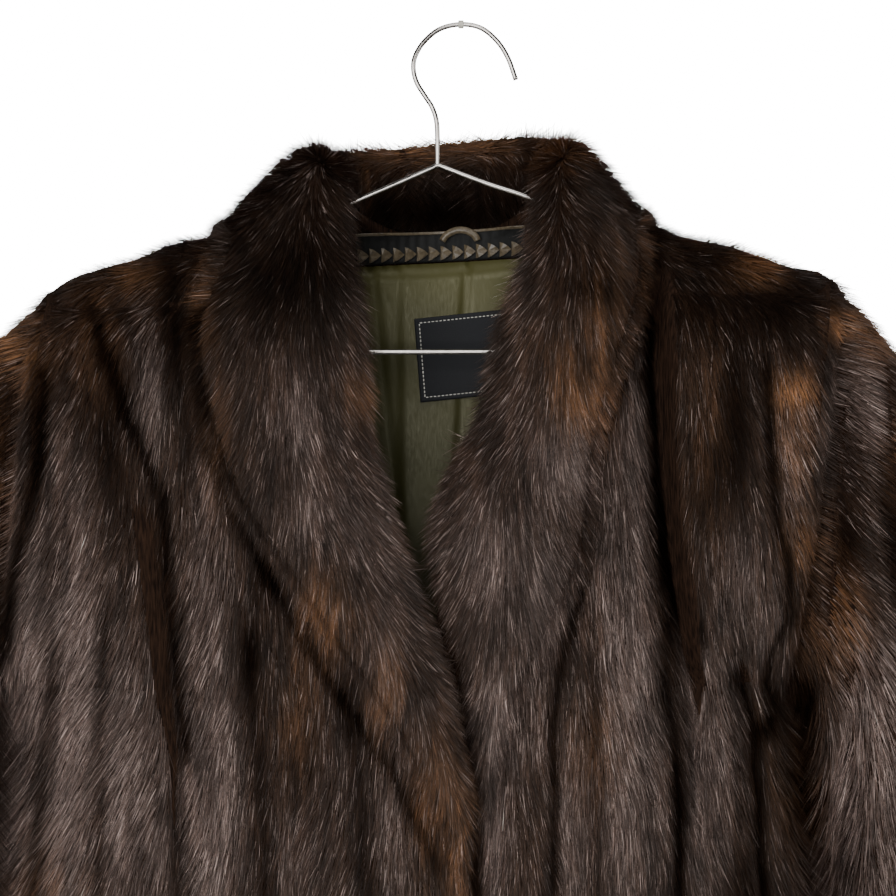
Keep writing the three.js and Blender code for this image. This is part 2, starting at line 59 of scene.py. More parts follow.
SHOULDER = np.array([
    (-238, -154), (-219, -139), (-206, -134), (-187, -129), (-168, -121), (-147, -117),
    (-122, -110), (-93, -100), (-70, -91), (-10, -78), (49, -86), (81, -99), (110, -109),
    (128, -117), (151, -121), (187, -133), (209, -142), (214, -146)], float)
# z, left, right, front, back
BODY = np.array([
    (-940, -302, 240, 86, 76), (-740, -285, 222, 82, 71), (-500, -262, 203, 77, 64),
    (-425, -259, 197, 74, 62), (-380, -258, 184, 72, 60), (-250, -245, 201, 67, 55),
    (-156, -238, 213, 60, 50), (-80, -238, 214, 54, 46)], float)
# z, edge of the right front, edge of the left front
FRONT_EDGE = np.array([
    (-940, 7, -46), (-460, 4, -42), (-427, 0, -36), (-369, -13, -22), (-329, -30, -12),
    (-296, -41, -9), (-269, -50, -3), (-234, -59, 13), (-190, -61, 27), (-160, -64, 34),
    (-130, -70, 45), (-90, -71, 49)], float)
SIDE_FOLD = [(139, -332), (151, -361), (165, -402), (169, -454), (170, -504), (172, -640)]
# from, to, half width, depth, path
FOLDS = [
    (-130, -470, 15, 9, [(-214, -136), (-202, -193), (-180, -248), (-165, -309), (-156, -379),
                         (-150, -480)]),
    (-100, -440, 12, 14, [(107, -103), (107, -176), (111, -263), (120, -344), (133, -414),
                          (134, -480)]),
    (-330, -640, 12, 9, SIDE_FOLD),
    (-160, -560, 26, -5, [(94, -160), (88, -230), (88, -309), (92, -390), (96, -560)]),
]
# Finer folds that only the fur shows
FINE_FOLDS = [
    (-120, -420, 8, 4.5, [(-166, -124), (-154, -176), (-151, -216), (-148, -257), (-146, -420)]),
    (-240, -620, 7, 6.0, [(-170, -250), (-166, -300), (-161, -360), (-158, -420), (-160, -620)]),
    (-110, -460, 6, 8.0, [(108, -103), (108, -176), (112, -263), (121, -344), (133, -414),
                          (134, -480)]),
    (-150, -370, 9, 6.0, [(166, -158), (170, -216), (174, -274), (178, -309), (181, -370)]),
    (-330, -640, 6, 6.0, SIDE_FOLD),
    (-300, -900, 10, 3.5, [(-95, -300), (-92, -420), (-88, -560), (-86, -900)]),
    (-360, -900, 9, 3.0, [(55, -360), (58, -480), (60, -620), (62, -900)]),
    (-200, -520, 10, 3.0, [(-228, -200), (-226, -300), (-222, -400), (-225, -520)]),
]
# roll x, roll z, fall x, fall z, thickness
LAPEL_RIGHT = np.array([
    (-60, -133, -135, -134, 20), (-53, -170, -149, -175, 20), (-50, -205, -147, -208, 19),
    (-48, -234, -139, -240, 18), (-39, -269, -125, -274, 18), (-29, -303, -101, -309, 17),
    (-20, -329, -81, -339, 16), (-6, -369, -54, -376, 15), (0, -402, -29, -415, 13),
    (5, -432, -12, -450, 9), (7, -452, -1, -472, 4)], float)
LAPEL_LEFT = np.array([
    (37, -127, 102, -129, 20), (30, -146, 101, -150, 20), (21, -170, 97, -173, 20),
    (16, -190, 91, -193, 19), (8, -223, 81, -225, 18), (-6, -249, 75, -254, 18),
    (-16, -276, 73, -282, 17), (-18, -297, 69, -304, 16), (-15, -324, 58, -331, 15),
    (-8, -346, 46, -358, 13), (1, -370, 31, -386, 11), (7, -402, 21, -417, 8),
    (12, -430, 17, -443, 4)], float)
# base, inner, crest, outer, fall, under
NECK_RIGHT = np.array([
    [(-10.7, 41, -113), (-10.7, 44, -86), (-10.7, 57, -57), (-10.7, 80, -90), (-10.7, 84, -134),
     (-10.7, 54, -130)],
    [(-50, 30, -104), (-50, 34, -84), (-54, 46, -62), (-66, 72, -94), (-72, 80, -138), (-60, 50, -126)],
    [(-68, 4, -91), (-64, 6, -81), (-80, 10, -67), (-108, 18, -86), (-136, 24, -118), (-100, 10, -104)],
    [(-66, -24, -102), (-62, -34, -96), (-82, -40, -78), (-115, -38, -104), (-134, -36, -126),
     (-98, -26, -116)],
], float)
NECK_LEFT = np.array([
    [(-10.3, 41, -113), (-10.3, 44, -86), (-10.3, 57, -57), (-10.3, 80, -90), (-10.3, 84, -134),
     (-10.3, 54, -130)],
    [(29, 30, -102), (29, 34, -80), (34, 46, -54), (46, 72, -90), (52, 80, -136), (40, 50, -126)],
    [(47, 4, -87), (44, 6, -77), (60, 10, -60), (83, 18, -87), (104, 24, -112), (76, 10, -102)],
    [(45, -24, -98), (41, -34, -91), (60, -40, -75), (90, -38, -101), (102, -36, -120), (76, -26, -114)],
], float)
# inner x, inner z, outer x, outer z, half depth
SLEEVE_RIGHT = np.array([
    (-258, -380, -238, -154, 46), (-259.5, -384, -254, -166, 50), (-261, -390, -285, -197, 54),
    (-262, -398, -318, -242, 57), (-263, -408, -350, -300, 58), (-263, -424, -376, -362, 58),
    (-264, -458, -392, -428, 57), (-266, -520, -403, -510, 56), (-276, -620, -412, -618, 54),
    (-284, -690, -414, -690, 52), (-291, -745, -416, -745, 52)], float)
SLEEVE_LEFT = np.array([
    (184, -380, 214, -146, 46), (187, -384, 231, -160, 50), (191, -390, 257, -191, 54),
    (195, -398, 288, -233, 57), (198, -408, 318, -290, 58), (201, -426, 337, -352, 58),
    (203.5, -462, 348, -424, 57), (208, -528, 355, -512, 56), (219, -625, 361, -620, 54),
    (229, -695, 363, -692, 52), (236, -748, 365, -748, 52)], float)


def reader(t, y):
    """Smooth line through a table's rows, the same one the solids use."""
    order = np.argsort(t)
    t, y = np.asarray(t, float)[order], np.asarray(y, float)[order]
    step = np.diff(y) / np.diff(t)
    slope = np.empty_like(y)
    slope[0], slope[-1] = step[0], step[-1]
    a, b = step[:-1], step[1:]
    same = a * b > 0
    slope[1:-1] = np.where(same, 2 * a * b / np.where(same, a + b, 1), 0)

    def read(q):
        q = np.clip(np.asarray(q, float), t[0], t[-1])
        i = np.clip(np.searchsorted(t, q, side="right") - 1, 0, len(t) - 2)
        wide = t[i + 1] - t[i]
        f = (q - t[i]) / wide
        h1 = f * f * (3 - 2 * f)
        return (y[i] * (1 - h1) + y[i + 1] * h1
                + wide * (slope[i] * f * (1 - f) ** 2 + slope[i + 1] * f * f * (f - 1)))
    return read


def smooth(t):
    t = np.clip(t, 0, 1)
    return t * t * (3 - 2 * t)


def mix(a, b, t):
    return a + (b - a) * t


shoulder_z = reader(SHOULDER[:, 0], SHOULDER[:, 1])
depth_front = reader(BODY[:, 0], BODY[:, 3])
depth_back = reader(BODY[:, 0], BODY[:, 4])
LOW = BODY[BODY[:, 0] <= UNDERARM_Z]
side_left = reader(LOW[:, 0], LOW[:, 1])
side_right = reader(LOW[:, 0], LOW[:, 2])
edge_right = reader(FRONT_EDGE[:, 0], FRONT_EDGE[:, 1])
edge_left = reader(FRONT_EDGE[:, 0], FRONT_EDGE[:, 2])


class Armhole:
    def __init__(self, rows):
        self.x0, self.z0, self.x1, self.z1 = rows[0][:4]
        self.middle = (self.z0 + self.z1) / 2
        self.half = (self.z1 - self.z0) / 2

    def x(self, z):
        return mix(self.x0, self.x1, np.clip((z - self.z0) / (2 * self.half), 0, 1))

    def y(self, z, trim):
        t = np.minimum(1, np.abs(z - self.middle) / (self.half - trim))
        return (ARM_DEPTH - trim) * (1 - t ** ARM_POWER) ** (1 / ARM_POWER)


ARM_RIGHT, ARM_LEFT = Armhole(SLEEVE_RIGHT), Armhole(SLEEVE_LEFT)


def left_edge(z):
    return np.where(z > UNDERARM_Z, ARM_RIGHT.x(z), side_left(z))


def right_edge(z):
    return np.where(z > UNDERARM_Z, ARM_LEFT.x(z), side_right(z))


def press(x, z, table):
    """How deep the folds of a table press a panel in."""
    total = np.zeros_like(x)
    for start, end, half, depth, path in table:
        line = reader([p[1] for p in path], [p[0] for p in path])
        fade = smooth((start - z) / 50) * smooth((z - end) / 110)
        total += depth * fade * np.exp(-((x - line(z)) / half) ** 2)
    return total


def hem_wave(x, z, shift):
    """Soft flutes that grow down to the hem."""
    grow = smooth((-z - 430) / 450) * (1 - 0.9 * np.exp(-((x + 16) / 42) ** 2))
    return grow * (6 * np.sin(x / 19 + shift) + 2.5 * np.sin(x / 12 + 2 * shift))


def back_top(x):
    t = np.clip((x - CENTRE_X) / NECK_HALF, -1, 1)
    rim = shoulder_z(CENTRE_X + np.sign(t) * NECK_HALF)
    inside = mix(rim, -90 - NECK_DROP, (1 - t * t) ** 0.8)
    return np.where(np.abs(t) >= 1, shoulder_z(x), inside)


def back_ridge(x):
    t = np.clip((x - CENTRE_X) / NECK_HALF, -1, 1)
    return NECK_BACK * (1 - t * t) ** 0.7


def face_depth(side, x, z, top, trim, fine=False):
    """Depth of a panel in front of or behind the middle plane, with its folds pressed in."""
    left, right = left_edge(z), right_edge(z)
    s = np.minimum(1, np.abs(x - (left + right) / 2) / ((right - left) / 2))
    edge = s ** 4
    turn = np.clip((top - z) / ROOF, 0, 1)
    roof = np.sqrt(np.maximum(0, 1 - (1 - turn) ** 2))
    ridge = back_ridge(x) if side > 0 else 0
    full = (depth_back(z) if side > 0 else depth_front(z)) - trim - ridge
    rounding = (1 - s ** 3.2) ** (1 / 2.2)
    arm = np.where(x < CENTRE_X, ARM_RIGHT.y(z, trim), ARM_LEFT.y(z, trim))
    arm_top = np.where(x < CENTRE_X, ARM_RIGHT.z1, ARM_LEFT.z1)
    arm = np.where((z > UNDERARM_Z) & (z < arm_top), arm, 0)
    tables = (FOLDS, FINE_FOLDS) if fine else (FOLDS,)
    pressed = sum(press(x, z, table) for table in tables) if side < 0 else 0
    wave = hem_wave(x, z, 2.1 if side > 0 else 0.4)
    free = (1 - s ** 6) * roof
    return ridge + full * roof * rounding + arm * edge - free * (pressed + wave)


def inset(x, z, top, trim, last):
    """A place on a panel drawn in from its top line, armhole and side by the trim."""
    left, right = left_edge(z), right_edge(z)
    s = (x - (left + right) / 2) / ((right - left) / 2)
    middle = np.where(x < CENTRE_X, ARM_RIGHT.middle, ARM_LEFT.middle)
    half = np.where(x < CENTRE_X, ARM_RIGHT.half, ARM_LEFT.half)
    edge = np.where(last, 1, np.abs(s) ** 4)
    from_top = trim * np.clip(1 - (top - z) / 90, 0, 1)
    from_arm = np.where(z > UNDERARM_Z, (z - middle) * trim / half,
                        -trim * np.clip(1 - (UNDERARM_Z - z) / 60, 0, 1))
    below = smooth((UNDERARM_Z - z) / 40)
    z_in = z - mix(from_top, from_arm, edge)
    left, right = left_edge(z_in), right_edge(z_in)
    return (left + right) / 2 + s * ((right - left) / 2 - trim * below), z_in


def tuck_under(x, z):
    return UNDERLAP * smooth((edge_right(z) + 34 - x) / 30)


class Panel:
    """A body panel: u runs across and v down, from the top line to the hem."""

    def __init__(self, side, start, end, line, tuck=None, arm_first=False):
        self.side, self.start, self.end, self.line = side, start, end, line
        self.tuck, self.arm_first = tuck, arm_first

    def at(self, u, v, trim):
        u, v = np.broadcast_arrays(np.asarray(u, float), np.asarray(v, float))
        z = np.full(u.shape, -120.0)
        for _ in range(12):
            z = self.line(mix(self.start(z), self.end(z), u))
        top = z
        z = np.where(v < 0.55, mix(top, UNDERARM_Z, np.clip(v / 0.55, 0, 1) ** 1.25),
                     mix(UNDERARM_Z, HEM_Z, (v - 0.55) / 0.45))
        x = mix(self.start(z), self.end(z), u)
        last = (u >= 0.9999) | (self.arm_first & (u <= 0.0001))
        xi, zi = inset(x, z, top, trim, last)
        depth = np.maximum(0, face_depth(self.side, x, z, top, trim, fine=True))
        lift = self.tuck(x, z) if self.tuck else 0
        return np.stack([xi, self.side * (SEAM / 2 + depth - lift), zi], -1)

    def pile(self, u, v):
        """Depth of the hair, which thins out to the side seams."""
        near = np.minimum(u, 1 - u) if self.arm_first else 1 - u
        return PILE * smooth(near / 0.06)

    def outward(self, u, v):
        point = self.at(u, v, PILE)
        inside = np.zeros_like(point)
        inside[..., 0] = mix(CENTRE_X, point[..., 0], 0.3)
        inside[..., 2] = point[..., 2] - 30
        return point - inside


FRONT_R = Panel(-1, edge_right, left_edge, shoulder_z)
FRONT_L = Panel(-1, edge_left, right_edge, shoulder_z, tuck_under)
BACK = Panel(1, left_edge, right_edge, back_top, None, True)


class Sleeve:
    """u runs round the sleeve and v from the armhole down to the cuff."""

    def __init__(self, rows, away, folds):
        self.count = len(rows) - 1
        self.read = [reader(np.arange(len(rows)), rows[:, k]) for k in range(5)]
        self.away, self.folds = away, folds

    def at(self, u, v, trim):
        u, v = np.broadcast_arrays(np.asarray(u, float), np.asarray(v, float))
        t = v * self.count
        ix, iz, ox, oz, d = [f(t) for f in self.read]
        length = np.hypot(ox - ix, oz - iz)
        half = length / 2 - trim
        a = 2 * np.pi * u
        c = np.sign(np.cos(a)) * np.abs(np.cos(a)) ** (2 / ARM_POWER)
        s = np.sign(np.sin(a)) * np.abs(np.sin(a)) ** (2 / ARM_POWER)
        shift = self.away * SEAM * 1.5 * np.clip(1 - v * 13 / 3, 0, 1)
        x = (ix + ox) / 2 + (ox - ix) / length * half * c + shift
        z = (iz + oz) / 2 + (oz - iz) / length * half * c
        y = (d - trim) * s
        dent = np.zeros_like(x)
        for side, start, end, wide, depth, path in self.folds:
            line = reader([p[1] for p in path], [p[0] for p in path])
            fade = smooth((start - z) / 40) * smooth((z - end) / 70)
            face = smooth((side * y - 8) / 20)
            dent += depth * fade * face * np.exp(-((x - line(z)) / wide) ** 2)
        y = y * (1 - np.clip(dent / np.maximum(8, np.abs(y)), 0, 0.7))
        return np.stack([x, y, z], -1)

    def pile(self, u, v):
        """Depth of the hair, which thins out to the armhole and beside the body."""
        inner = smooth((-np.cos(2 * np.pi * u) - 0.5) / 0.4)
        return PILE * np.minimum(smooth(v / 0.06), 1 - inner)

    def outward(self, u, v):
        return self.at(u, v, PILE) - self.at(u + 0.5, v, PILE)


# face, from, to, half width, depth, path
SLEEVE_R_FOLDS = [
    (-1, -180, -420, 7, 7, [(-246, -170), (-254, -250), (-262, -330), (-272, -430)]),
    (-1, -230, -520, 9, 5, [(-300, -210), (-312, -300), (-322, -400), (-326, -520)]),
    (1, -200, -500, 12, 6, [(-290, -200), (-315, -320), (-330, -500)]),
]
SLEEVE_L_FOLDS = [
    (-1, -190, -380, 7, 8, [(217, -180), (213, -230), (208, -300), (204, -380)]),
    (-1, -170, -420, 7, 8, [(238, -170), (240, -230), (247, -300), (252, -360), (256, -420)]),
    (-1, -330, -520, 9, 9, [(222, -330), (218, -380), (216, -430), (222, -520)]),
    (-1, -420, -640, 9, 5, [(286, -400), (280, -500), (284, -640)]),
    (1, -200, -500, 12, 6, [(250, -190), (275, -320), (288, -500)]),
]
SLEEVE_R = Sleeve(SLEEVE_RIGHT, -1, SLEEVE_R_FOLDS)
SLEEVE_L = Sleeve(SLEEVE_LEFT, 1, SLEEVE_L_FOLDS)


def catmull(points, t, closed):
    """Centripetal line through points, shaped (guides, ..., 3), at the places t."""
    n = len(points)
    p = t * (n if closed else n - 1)
    i = np.floor(p).astype(int)
    if not closed:
        i = np.clip(i, 0, n - 2)
    f = (p - i).reshape((-1,) + (1,) * (points.ndim - 1))

    def get(k):
        if closed:
            return points[k % n]
        low = 2 * points[0] - points[1]
        high = 2 * points[-1] - points[-2]
        full = np.concatenate([low[None], points, high[None]])
        return full[k + 1]
    p0, p1, p2, p3 = get(i - 1), get(i), get(i + 1), get(i + 2)

    def gap(a, b):
        return np.sqrt(np.linalg.norm(a - b, axis=-1, keepdims=True))
    d0, d1, d2 = gap(p0, p1), gap(p1, p2), gap(p2, p3)
    d1 = np.where(d1 < 1e-4, 1, d1)
    d0 = np.where(d0 < 1e-4, d1, d0)
    d2 = np.where(d2 < 1e-4, d1, d2)
    t1 = ((p1 - p0) / d0 - (p2 - p0) / (d0 + d1) + (p2 - p1) / d1) * d1
    t2 = ((p2 - p1) / d1 - (p3 - p1) / (d1 + d2) + (p3 - p2) / d2) * d1
    return p1 + f * (t1 + f * ((-3 * p1 + 3 * p2 - 2 * t1 - t2) + f * (2 * p1 - 2 * p2 + t1 + t2)))


COLLAR_ALONG, COLLAR_ROUND = 160, 120     # cells of the grid that a collar half is read from


class Collar:
    """u runs round the section from its base over the crest, v from the centre back to the tip."""

    def __init__(self, neck, lapel, tuck):
        rows = [neck]
        for rx, rz, fx, fz, thick in lapel:
            def at(t, up):
                x, z = mix(rx, fx, t), mix(rz, fz, t)
                xa, za = np.array([float(x)]), np.array([float(z)])
                y = -(SEAM / 2 + face_depth(-1, xa, za, shoulder_z(xa), 0)[0]
                      - (tuck(xa, za)[0] if tuck else 0))
                return (x, y - up, z)
            rows.append(np.array([[
                at(0.05, -3.5), at(0, thick * 0.45), at(0.22, thick), at(0.7, thick * 0.85),
                at(1, thick * 0.2), at(0.8, -3.5)]], float))
        self.sections = np.concatenate(rows)
        self.grid_v = np.linspace(0, 1, COLLAR_ALONG + 1)
        guides = catmull(self.sections, self.grid_v, False)
        self.grid_u = np.linspace(0, 1, COLLAR_ROUND + 1)
        grid = catmull(np.moveaxis(guides, 1, 0), self.grid_u, True)
        self.grid = np.moveaxis(grid, 1, 0)           # (v, u, 3)

    def raw(self, u, v):
        """Point of the outer skin, read from a fine grid."""
        gu, gv = np.mod(u, 1) * COLLAR_ROUND, np.clip(v, 0, 1) * COLLAR_ALONG
        i = np.clip(gv.astype(int), 0, COLLAR_ALONG - 1)
        j = np.clip(gu.astype(int), 0, COLLAR_ROUND - 1)
        fv, fu = (gv - i)[..., None], (gu - j)[..., None]
        g = self.grid
        return ((g[i, j] * (1 - fu) + g[i, j + 1] * fu) * (1 - fv)
                + (g[i + 1, j] * (1 - fu) + g[i + 1, j + 1] * fu) * fv)

    def at(self, u, v, trim):
        u, v = np.broadcast_arrays(np.asarray(u, float), np.asarray(v, float))
        e = 0.012
        across = self.raw(u + e, v) - self.raw(u - e, v)
        along = self.raw(u, np.minimum(v + e, 1)) - self.raw(u, np.maximum(v - e, 0))
        normal = np.cross(across, along)
        normal /= np.linalg.norm(normal, axis=-1, keepdims=True) + 1e-9
        point = self.raw(u, v)
        middle = self.grid[:, :COLLAR_ROUND].mean(1)
        mid = np.stack([np.interp(v, self.grid_v, middle[:, k]) for k in range(3)], -1)
        flip = np.sign(np.sum((point - mid) * normal, -1, keepdims=True))
        depth = np.minimum(trim, 0.35 * np.linalg.norm(point - mid, axis=-1))[..., None]
        return point - normal * flip * depth

    def pile(self, u, v):
        return PILE + 0 * u

    def outward(self, u, v):
        return self.at(u, v, 0.0) - self.at(u, v, PILE)


COLLAR_R = Collar(NECK_RIGHT, LAPEL_RIGHT, None)
COLLAR_L = Collar(NECK_LEFT, LAPEL_LEFT, tuck_under)

# Looks


def add_node(tree, kind, values=(), operation=None):
    """A node of a kind, with constant values on its inputs."""
    node = tree.nodes.new("ShaderNode" + kind)
    if operation:
        node.operation = operation
    settle(node, values)
    return node


def settle(node, values):
    for key, value in values:
        node.inputs[key].default_value = value


def link(tree, a, b):
    tree.links.new(a, b)


def node_material(name, values=()):
    material = bpy.data.materials.new(name)
    material.use_nodes = True
    tree = material.node_tree
    shader = tree.nodes["Principled BSDF"]
    settle(shader, values)
    return material, tree, shader


def ramp(tree, factor, stops):
    """Colours along a factor; a plain number as colour is a grey."""
    node = add_node(tree, "ValToRGB")
    elements = node.color_ramp.elements
    while len(elements) < len(stops):
        elements.new(0.5)
    for element, (place, colour) in zip(elements, stops):
        element.position = place
        element.color = (*colour, 1) if isinstance(colour, tuple) else (colour, colour, colour, 1)
    link(tree, factor, node.inputs["Fac"])
    return node.outputs["Color"]


def noise(tree, coords, scale, detail, stretch=(1, 1, 1)):
    mapping = add_node(tree, "Mapping", [("Scale", stretch)])
    texture = add_node(tree, "TexNoise", [("Scale", scale), ("Detail", detail)])
    link(tree, coords, mapping.inputs["Vector"])
    link(tree, mapping.outputs["Vector"], texture.inputs["Vector"])
    return texture.outputs["Fac"]


def bump(tree, shader, height, strength, distance):
    node = add_node(tree, "Bump", [("Strength", strength), ("Distance", distance)])
    link(tree, height, node.inputs["Height"])
    link(tree, node.outputs["Normal"], shader.inputs["Normal"])


def object_coords(tree):
    return add_node(tree, "TexCoord").outputs["Object"]


def hair_material():
    """Each hair has its own tint, with lighter and darker bands along it."""
    material, tree, shader = node_material(
        "hair", [("Roughness", 0.38), ("Specular Tint", (1.0, 0.86, 0.78, 1))])
    tint = add_node(tree, "Attribute")
    tint.attribute_name = "tint"
    place = add_node(tree, "UVMap")
    place.uv_map = "strand"
    streak = noise(tree, place.outputs["UV"], 1.0, 2, (8.5, 0.6, 1))
    bands = ramp(tree, streak, [(0.36, 0.25), (0.50, 0.75), (0.66, 2.6)])
    both = add_node(tree, "VectorMath", operation="MULTIPLY")
    link(tree, tint.outputs["Color"], both.inputs[0])
    link(tree, bands, both.inputs[1])
    link(tree, both.outputs["Vector"], shader.inputs["Base Color"])
    # The tint's alpha sets the specular, which is cut down in painted fold shade so the folds read dark
    gloss = add_node(tree, "Math", [(1, 0.5)], "MULTIPLY")
    link(tree, tint.outputs["Alpha"], gloss.inputs[0])
    link(tree, gloss.outputs["Value"], shader.inputs["Specular IOR Level"])
    bump(tree, shader, streak, 0.7, 0.0005)
    return material


def under_material():
    material, tree, shader = node_material(
        "under_fur", [("Roughness", 0.8), ("Specular IOR Level", 0.08)])
    streak = noise(tree, object_coords(tree), 60, 4, (14, 14, 1.6))
    colours = ramp(tree, streak, [(0.3, (0.006, 0.003, 0.002)), (0.75, (0.042, 0.021, 0.012))])
    link(tree, colours, shader.inputs["Base Color"])
    bump(tree, shader, streak, 0.6, 0.002)
    return material


def satin_material():
    """Olive satin, with painted light close under the neck and painted shade lower down inside the coat.
    """
    material, tree, shader = node_material(
        "olive_satin", [("Specular IOR Level", 0.3), ("Specular Tint", (1.0, 0.97, 0.72, 1))])
    coords = object_coords(tree)
    cloud = noise(tree, coords, 9, 3, (1, 1, 1.6))
    colours = ramp(tree, cloud, [(0.3, (0.022, 0.021, 0.006)), (0.7, (0.044, 0.041, 0.013))])
    parts = add_node(tree, "SeparateXYZ")
    link(tree, coords, parts.inputs["Vector"])
    # Painted light and shade: the colour is scaled from 0.62 times low in the coat to 1.75 times close
    # under the neck
    high = add_node(tree, "MapRange", [("From Min", -0.30), ("From Max", -0.15),
                                       ("To Min", 0.62), ("To Max", 1.75)])
    link(tree, parts.outputs["Z"], high.inputs["Value"])
    satin_light_and_shade = add_node(tree, "VectorMath", operation="SCALE")
    link(tree, colours, satin_light_and_shade.inputs[0])
    link(tree, high.outputs["Result"], satin_light_and_shade.inputs["Scale"])
    link(tree, satin_light_and_shade.outputs["Vector"], shader.inputs["Base Color"])
    weave = noise(tree, coords, 900, 2, (1.0, 1.0, 0.25))
    link(tree, ramp(tree, weave, [(0.3, 0.34), (0.7, 0.46)]), shader.inputs["Roughness"])
    bump(tree, shader, weave, 0.12, 0.0004)
    return material


def cloth_material(name, dark, light, scale, rough):
    material, tree, shader = node_material(name, [("Roughness", rough)])
    grain = noise(tree, object_coords(tree), scale, 3)
    link(tree, ramp(tree, grain, [(0.3, dark), (0.7, light)]), shader.inputs["Base Color"])
    bump(tree, shader, grain, 0.25, 0.0004)
    return material


def chrome_material():
    material, tree, shader = node_material("chrome", [("Metallic", 1.0)])
    wear = noise(tree, object_coords(tree), 180, 3)
    colours = ramp(tree, wear, [(0.3, (0.40, 0.37, 0.34)), (0.7, (0.62, 0.58, 0.54))])
    link(tree, colours, shader.inputs["Base Color"])
    link(tree, ramp(tree, wear, [(0.3, 0.10), (0.7, 0.24)]), shader.inputs["Roughness"])
    return material


HAIR = hair_material()
UNDER = under_material()
SATIN = satin_material()
RIBBON = cloth_material("ribbon", (0.002, 0.002, 0.0016), (0.005, 0.0047, 0.0038), 700, 0.75)
BRAID = cloth_material("braid", (0.080, 0.060, 0.035), (0.165, 0.128, 0.078), 500, 0.36)
LABEL = cloth_material("label", (0.0025, 0.003, 0.0045), (0.006, 0.0068, 0.010), 1600, 0.75)
SILVER = cloth_material("silver_thread", (0.30, 0.29, 0.25), (0.60, 0.58, 0.50), 1500, 0.35)
CHROME = chrome_material()
BAND = cloth_material("band", (0.55, 0.52, 0.44), (0.72, 0.69, 0.60), 400, 0.4)

# Meshes


def make_object(name, points, faces, materials, looks=None, soft=True):
    """A mesh from points in millimetres."""
    mesh = bpy.data.meshes.new(name)
    mesh.from_pydata((np.asarray(points) / 1000).tolist(), [], [list(f) for f in faces])
    for material in materials:
        mesh.materials.append(material)
    if looks is not None:
        mesh.polygons.foreach_set("material_index", np.asarray(looks, dtype=np.int32))
    if soft:
        mesh.polygons.foreach_set("use_smooth", np.ones(len(mesh.polygons), dtype=bool))
    mesh.update()
    ob = bpy.data.objects.new(name, mesh)
    bpy.context.scene.collection.objects.link(ob)
    return ob


def signed_volume(points, faces):
    total = 0.0
    for f in (faces[:, [0, 1, 2]], faces[:, [0, 2, 3]]):
        a, b, c = points[f[:, 0]], points[f[:, 1]], points[f[:, 2]]
        total += np.einsum("ij,ij->i", a, np.cross(b, c)).sum()
    return total / 6


def quads(rows, wide, round_rows):
    """Corner numbers of the faces of a grid, row by row."""
    i, j = np.meshgrid(np.arange(rows - 1), np.arange(wide if round_rows else wide - 1),
                       indexing="ij")
    k = (j + 1) % wide
    corners = [i * wide + j, (i + 1) * wide + j, (i + 1) * wide + k, i * wide + k]
    return np.stack(corners, -1).reshape(-1, 4)


def rim_quads(rows, wide, round_rows):
    """Faces that join the rim of a grid to that of a second grid behind it."""
    n = rows * wide
    if round_rows:
        rims = [np.arange(wide), np.arange(n - wide, n)[::-1]]
    else:
        rims = [np.concatenate([np.arange(wide), np.arange(2 * wide - 1, n, wide),
                                np.arange(n - 2, n - wide - 1, -1),
                                np.arange(n - 2 * wide, 0, -wide)])]
    return np.concatenate([np.stack([r, np.roll(r, -1), np.roll(r, -1) + n, r + n], -1)
                           for r in rims])


def two_skins(name, outer, inner, materials, inner_looks=0, round_rows=False):
    """A closed thin piece between two grids of points."""
    rows, wide = outer.shape[:2]
    points = np.concatenate([outer.reshape(-1, 3), inner.reshape(-1, 3)])
    out = quads(rows, wide, round_rows)
    faces = np.concatenate([out, out[:, ::-1] + rows * wide, rim_quads(rows, wide, round_rows)])
    if signed_volume(points, faces) < 0:
        faces = faces[:, ::-1]
    looks = np.zeros(len(faces), int)
    looks[len(out):2 * len(out)] = inner_looks
    return make_object(name, points, faces, materials, looks)


def pelt(name, surface, us, vs, satin_from=-1.0, round_rows=False):
    """A pelt with its lining, which shows satin below a share of its rows."""
    u, v = np.meshgrid(us, vs)
    across = len(us) if round_rows else len(us) - 1
    satin = np.repeat(np.arange(len(vs) - 1) > len(vs) * satin_from, across)
    return two_skins(name, surface.at(u, v, surface.pile(u, v)), surface.at(u, v, WALL),
                     [UNDER, SATIN], satin, round_rows)


def ringed(name, rings, material, round_trip=False):
    """A closed body of rings, either joined last to first or capped at both ends."""
    rows, wide = rings.shape[:2]
    points = rings.reshape(-1, 3)
    faces = quads(rows + 1 if round_trip else rows, wide, True) % len(points)
    caps = [np.arange(wide), np.arange(len(points) - wide, len(points))[::-1]]
    if signed_volume(points, faces) < 0:
        faces = faces[:, ::-1]
        caps = [cap[::-1] for cap in caps]
    faces = faces.tolist()
    if not round_trip:
        faces += [cap.tolist() for cap in caps]
    return make_object(name, points, faces, [material])


# Fur

rng = np.random.default_rng(41)
HAIR_LONG = 17.0      # millimetres, before it varies
LIFT_ROOT = 28        # degrees from the pelt
LIFT_TIP = 7
TUFT = 6.0            # size of a tuft of tips
ORIGIN_ACROSS, ORIGIN_DOWN = 461, 27


def front_place(p):
    """Where a point is seen from the front, in units of PIXEL from the view's top left corner."""
    f = EYE_Y / (EYE_Y - p[:, 1])
    x = (p[:, 0] - EYE_X) * f + EYE_X
    z = (p[:, 2] - EYE_Z) * f + EYE_Z
    return x / PIXEL + ORIGIN_ACROSS, -z / PIXEL + ORIGIN_DOWN
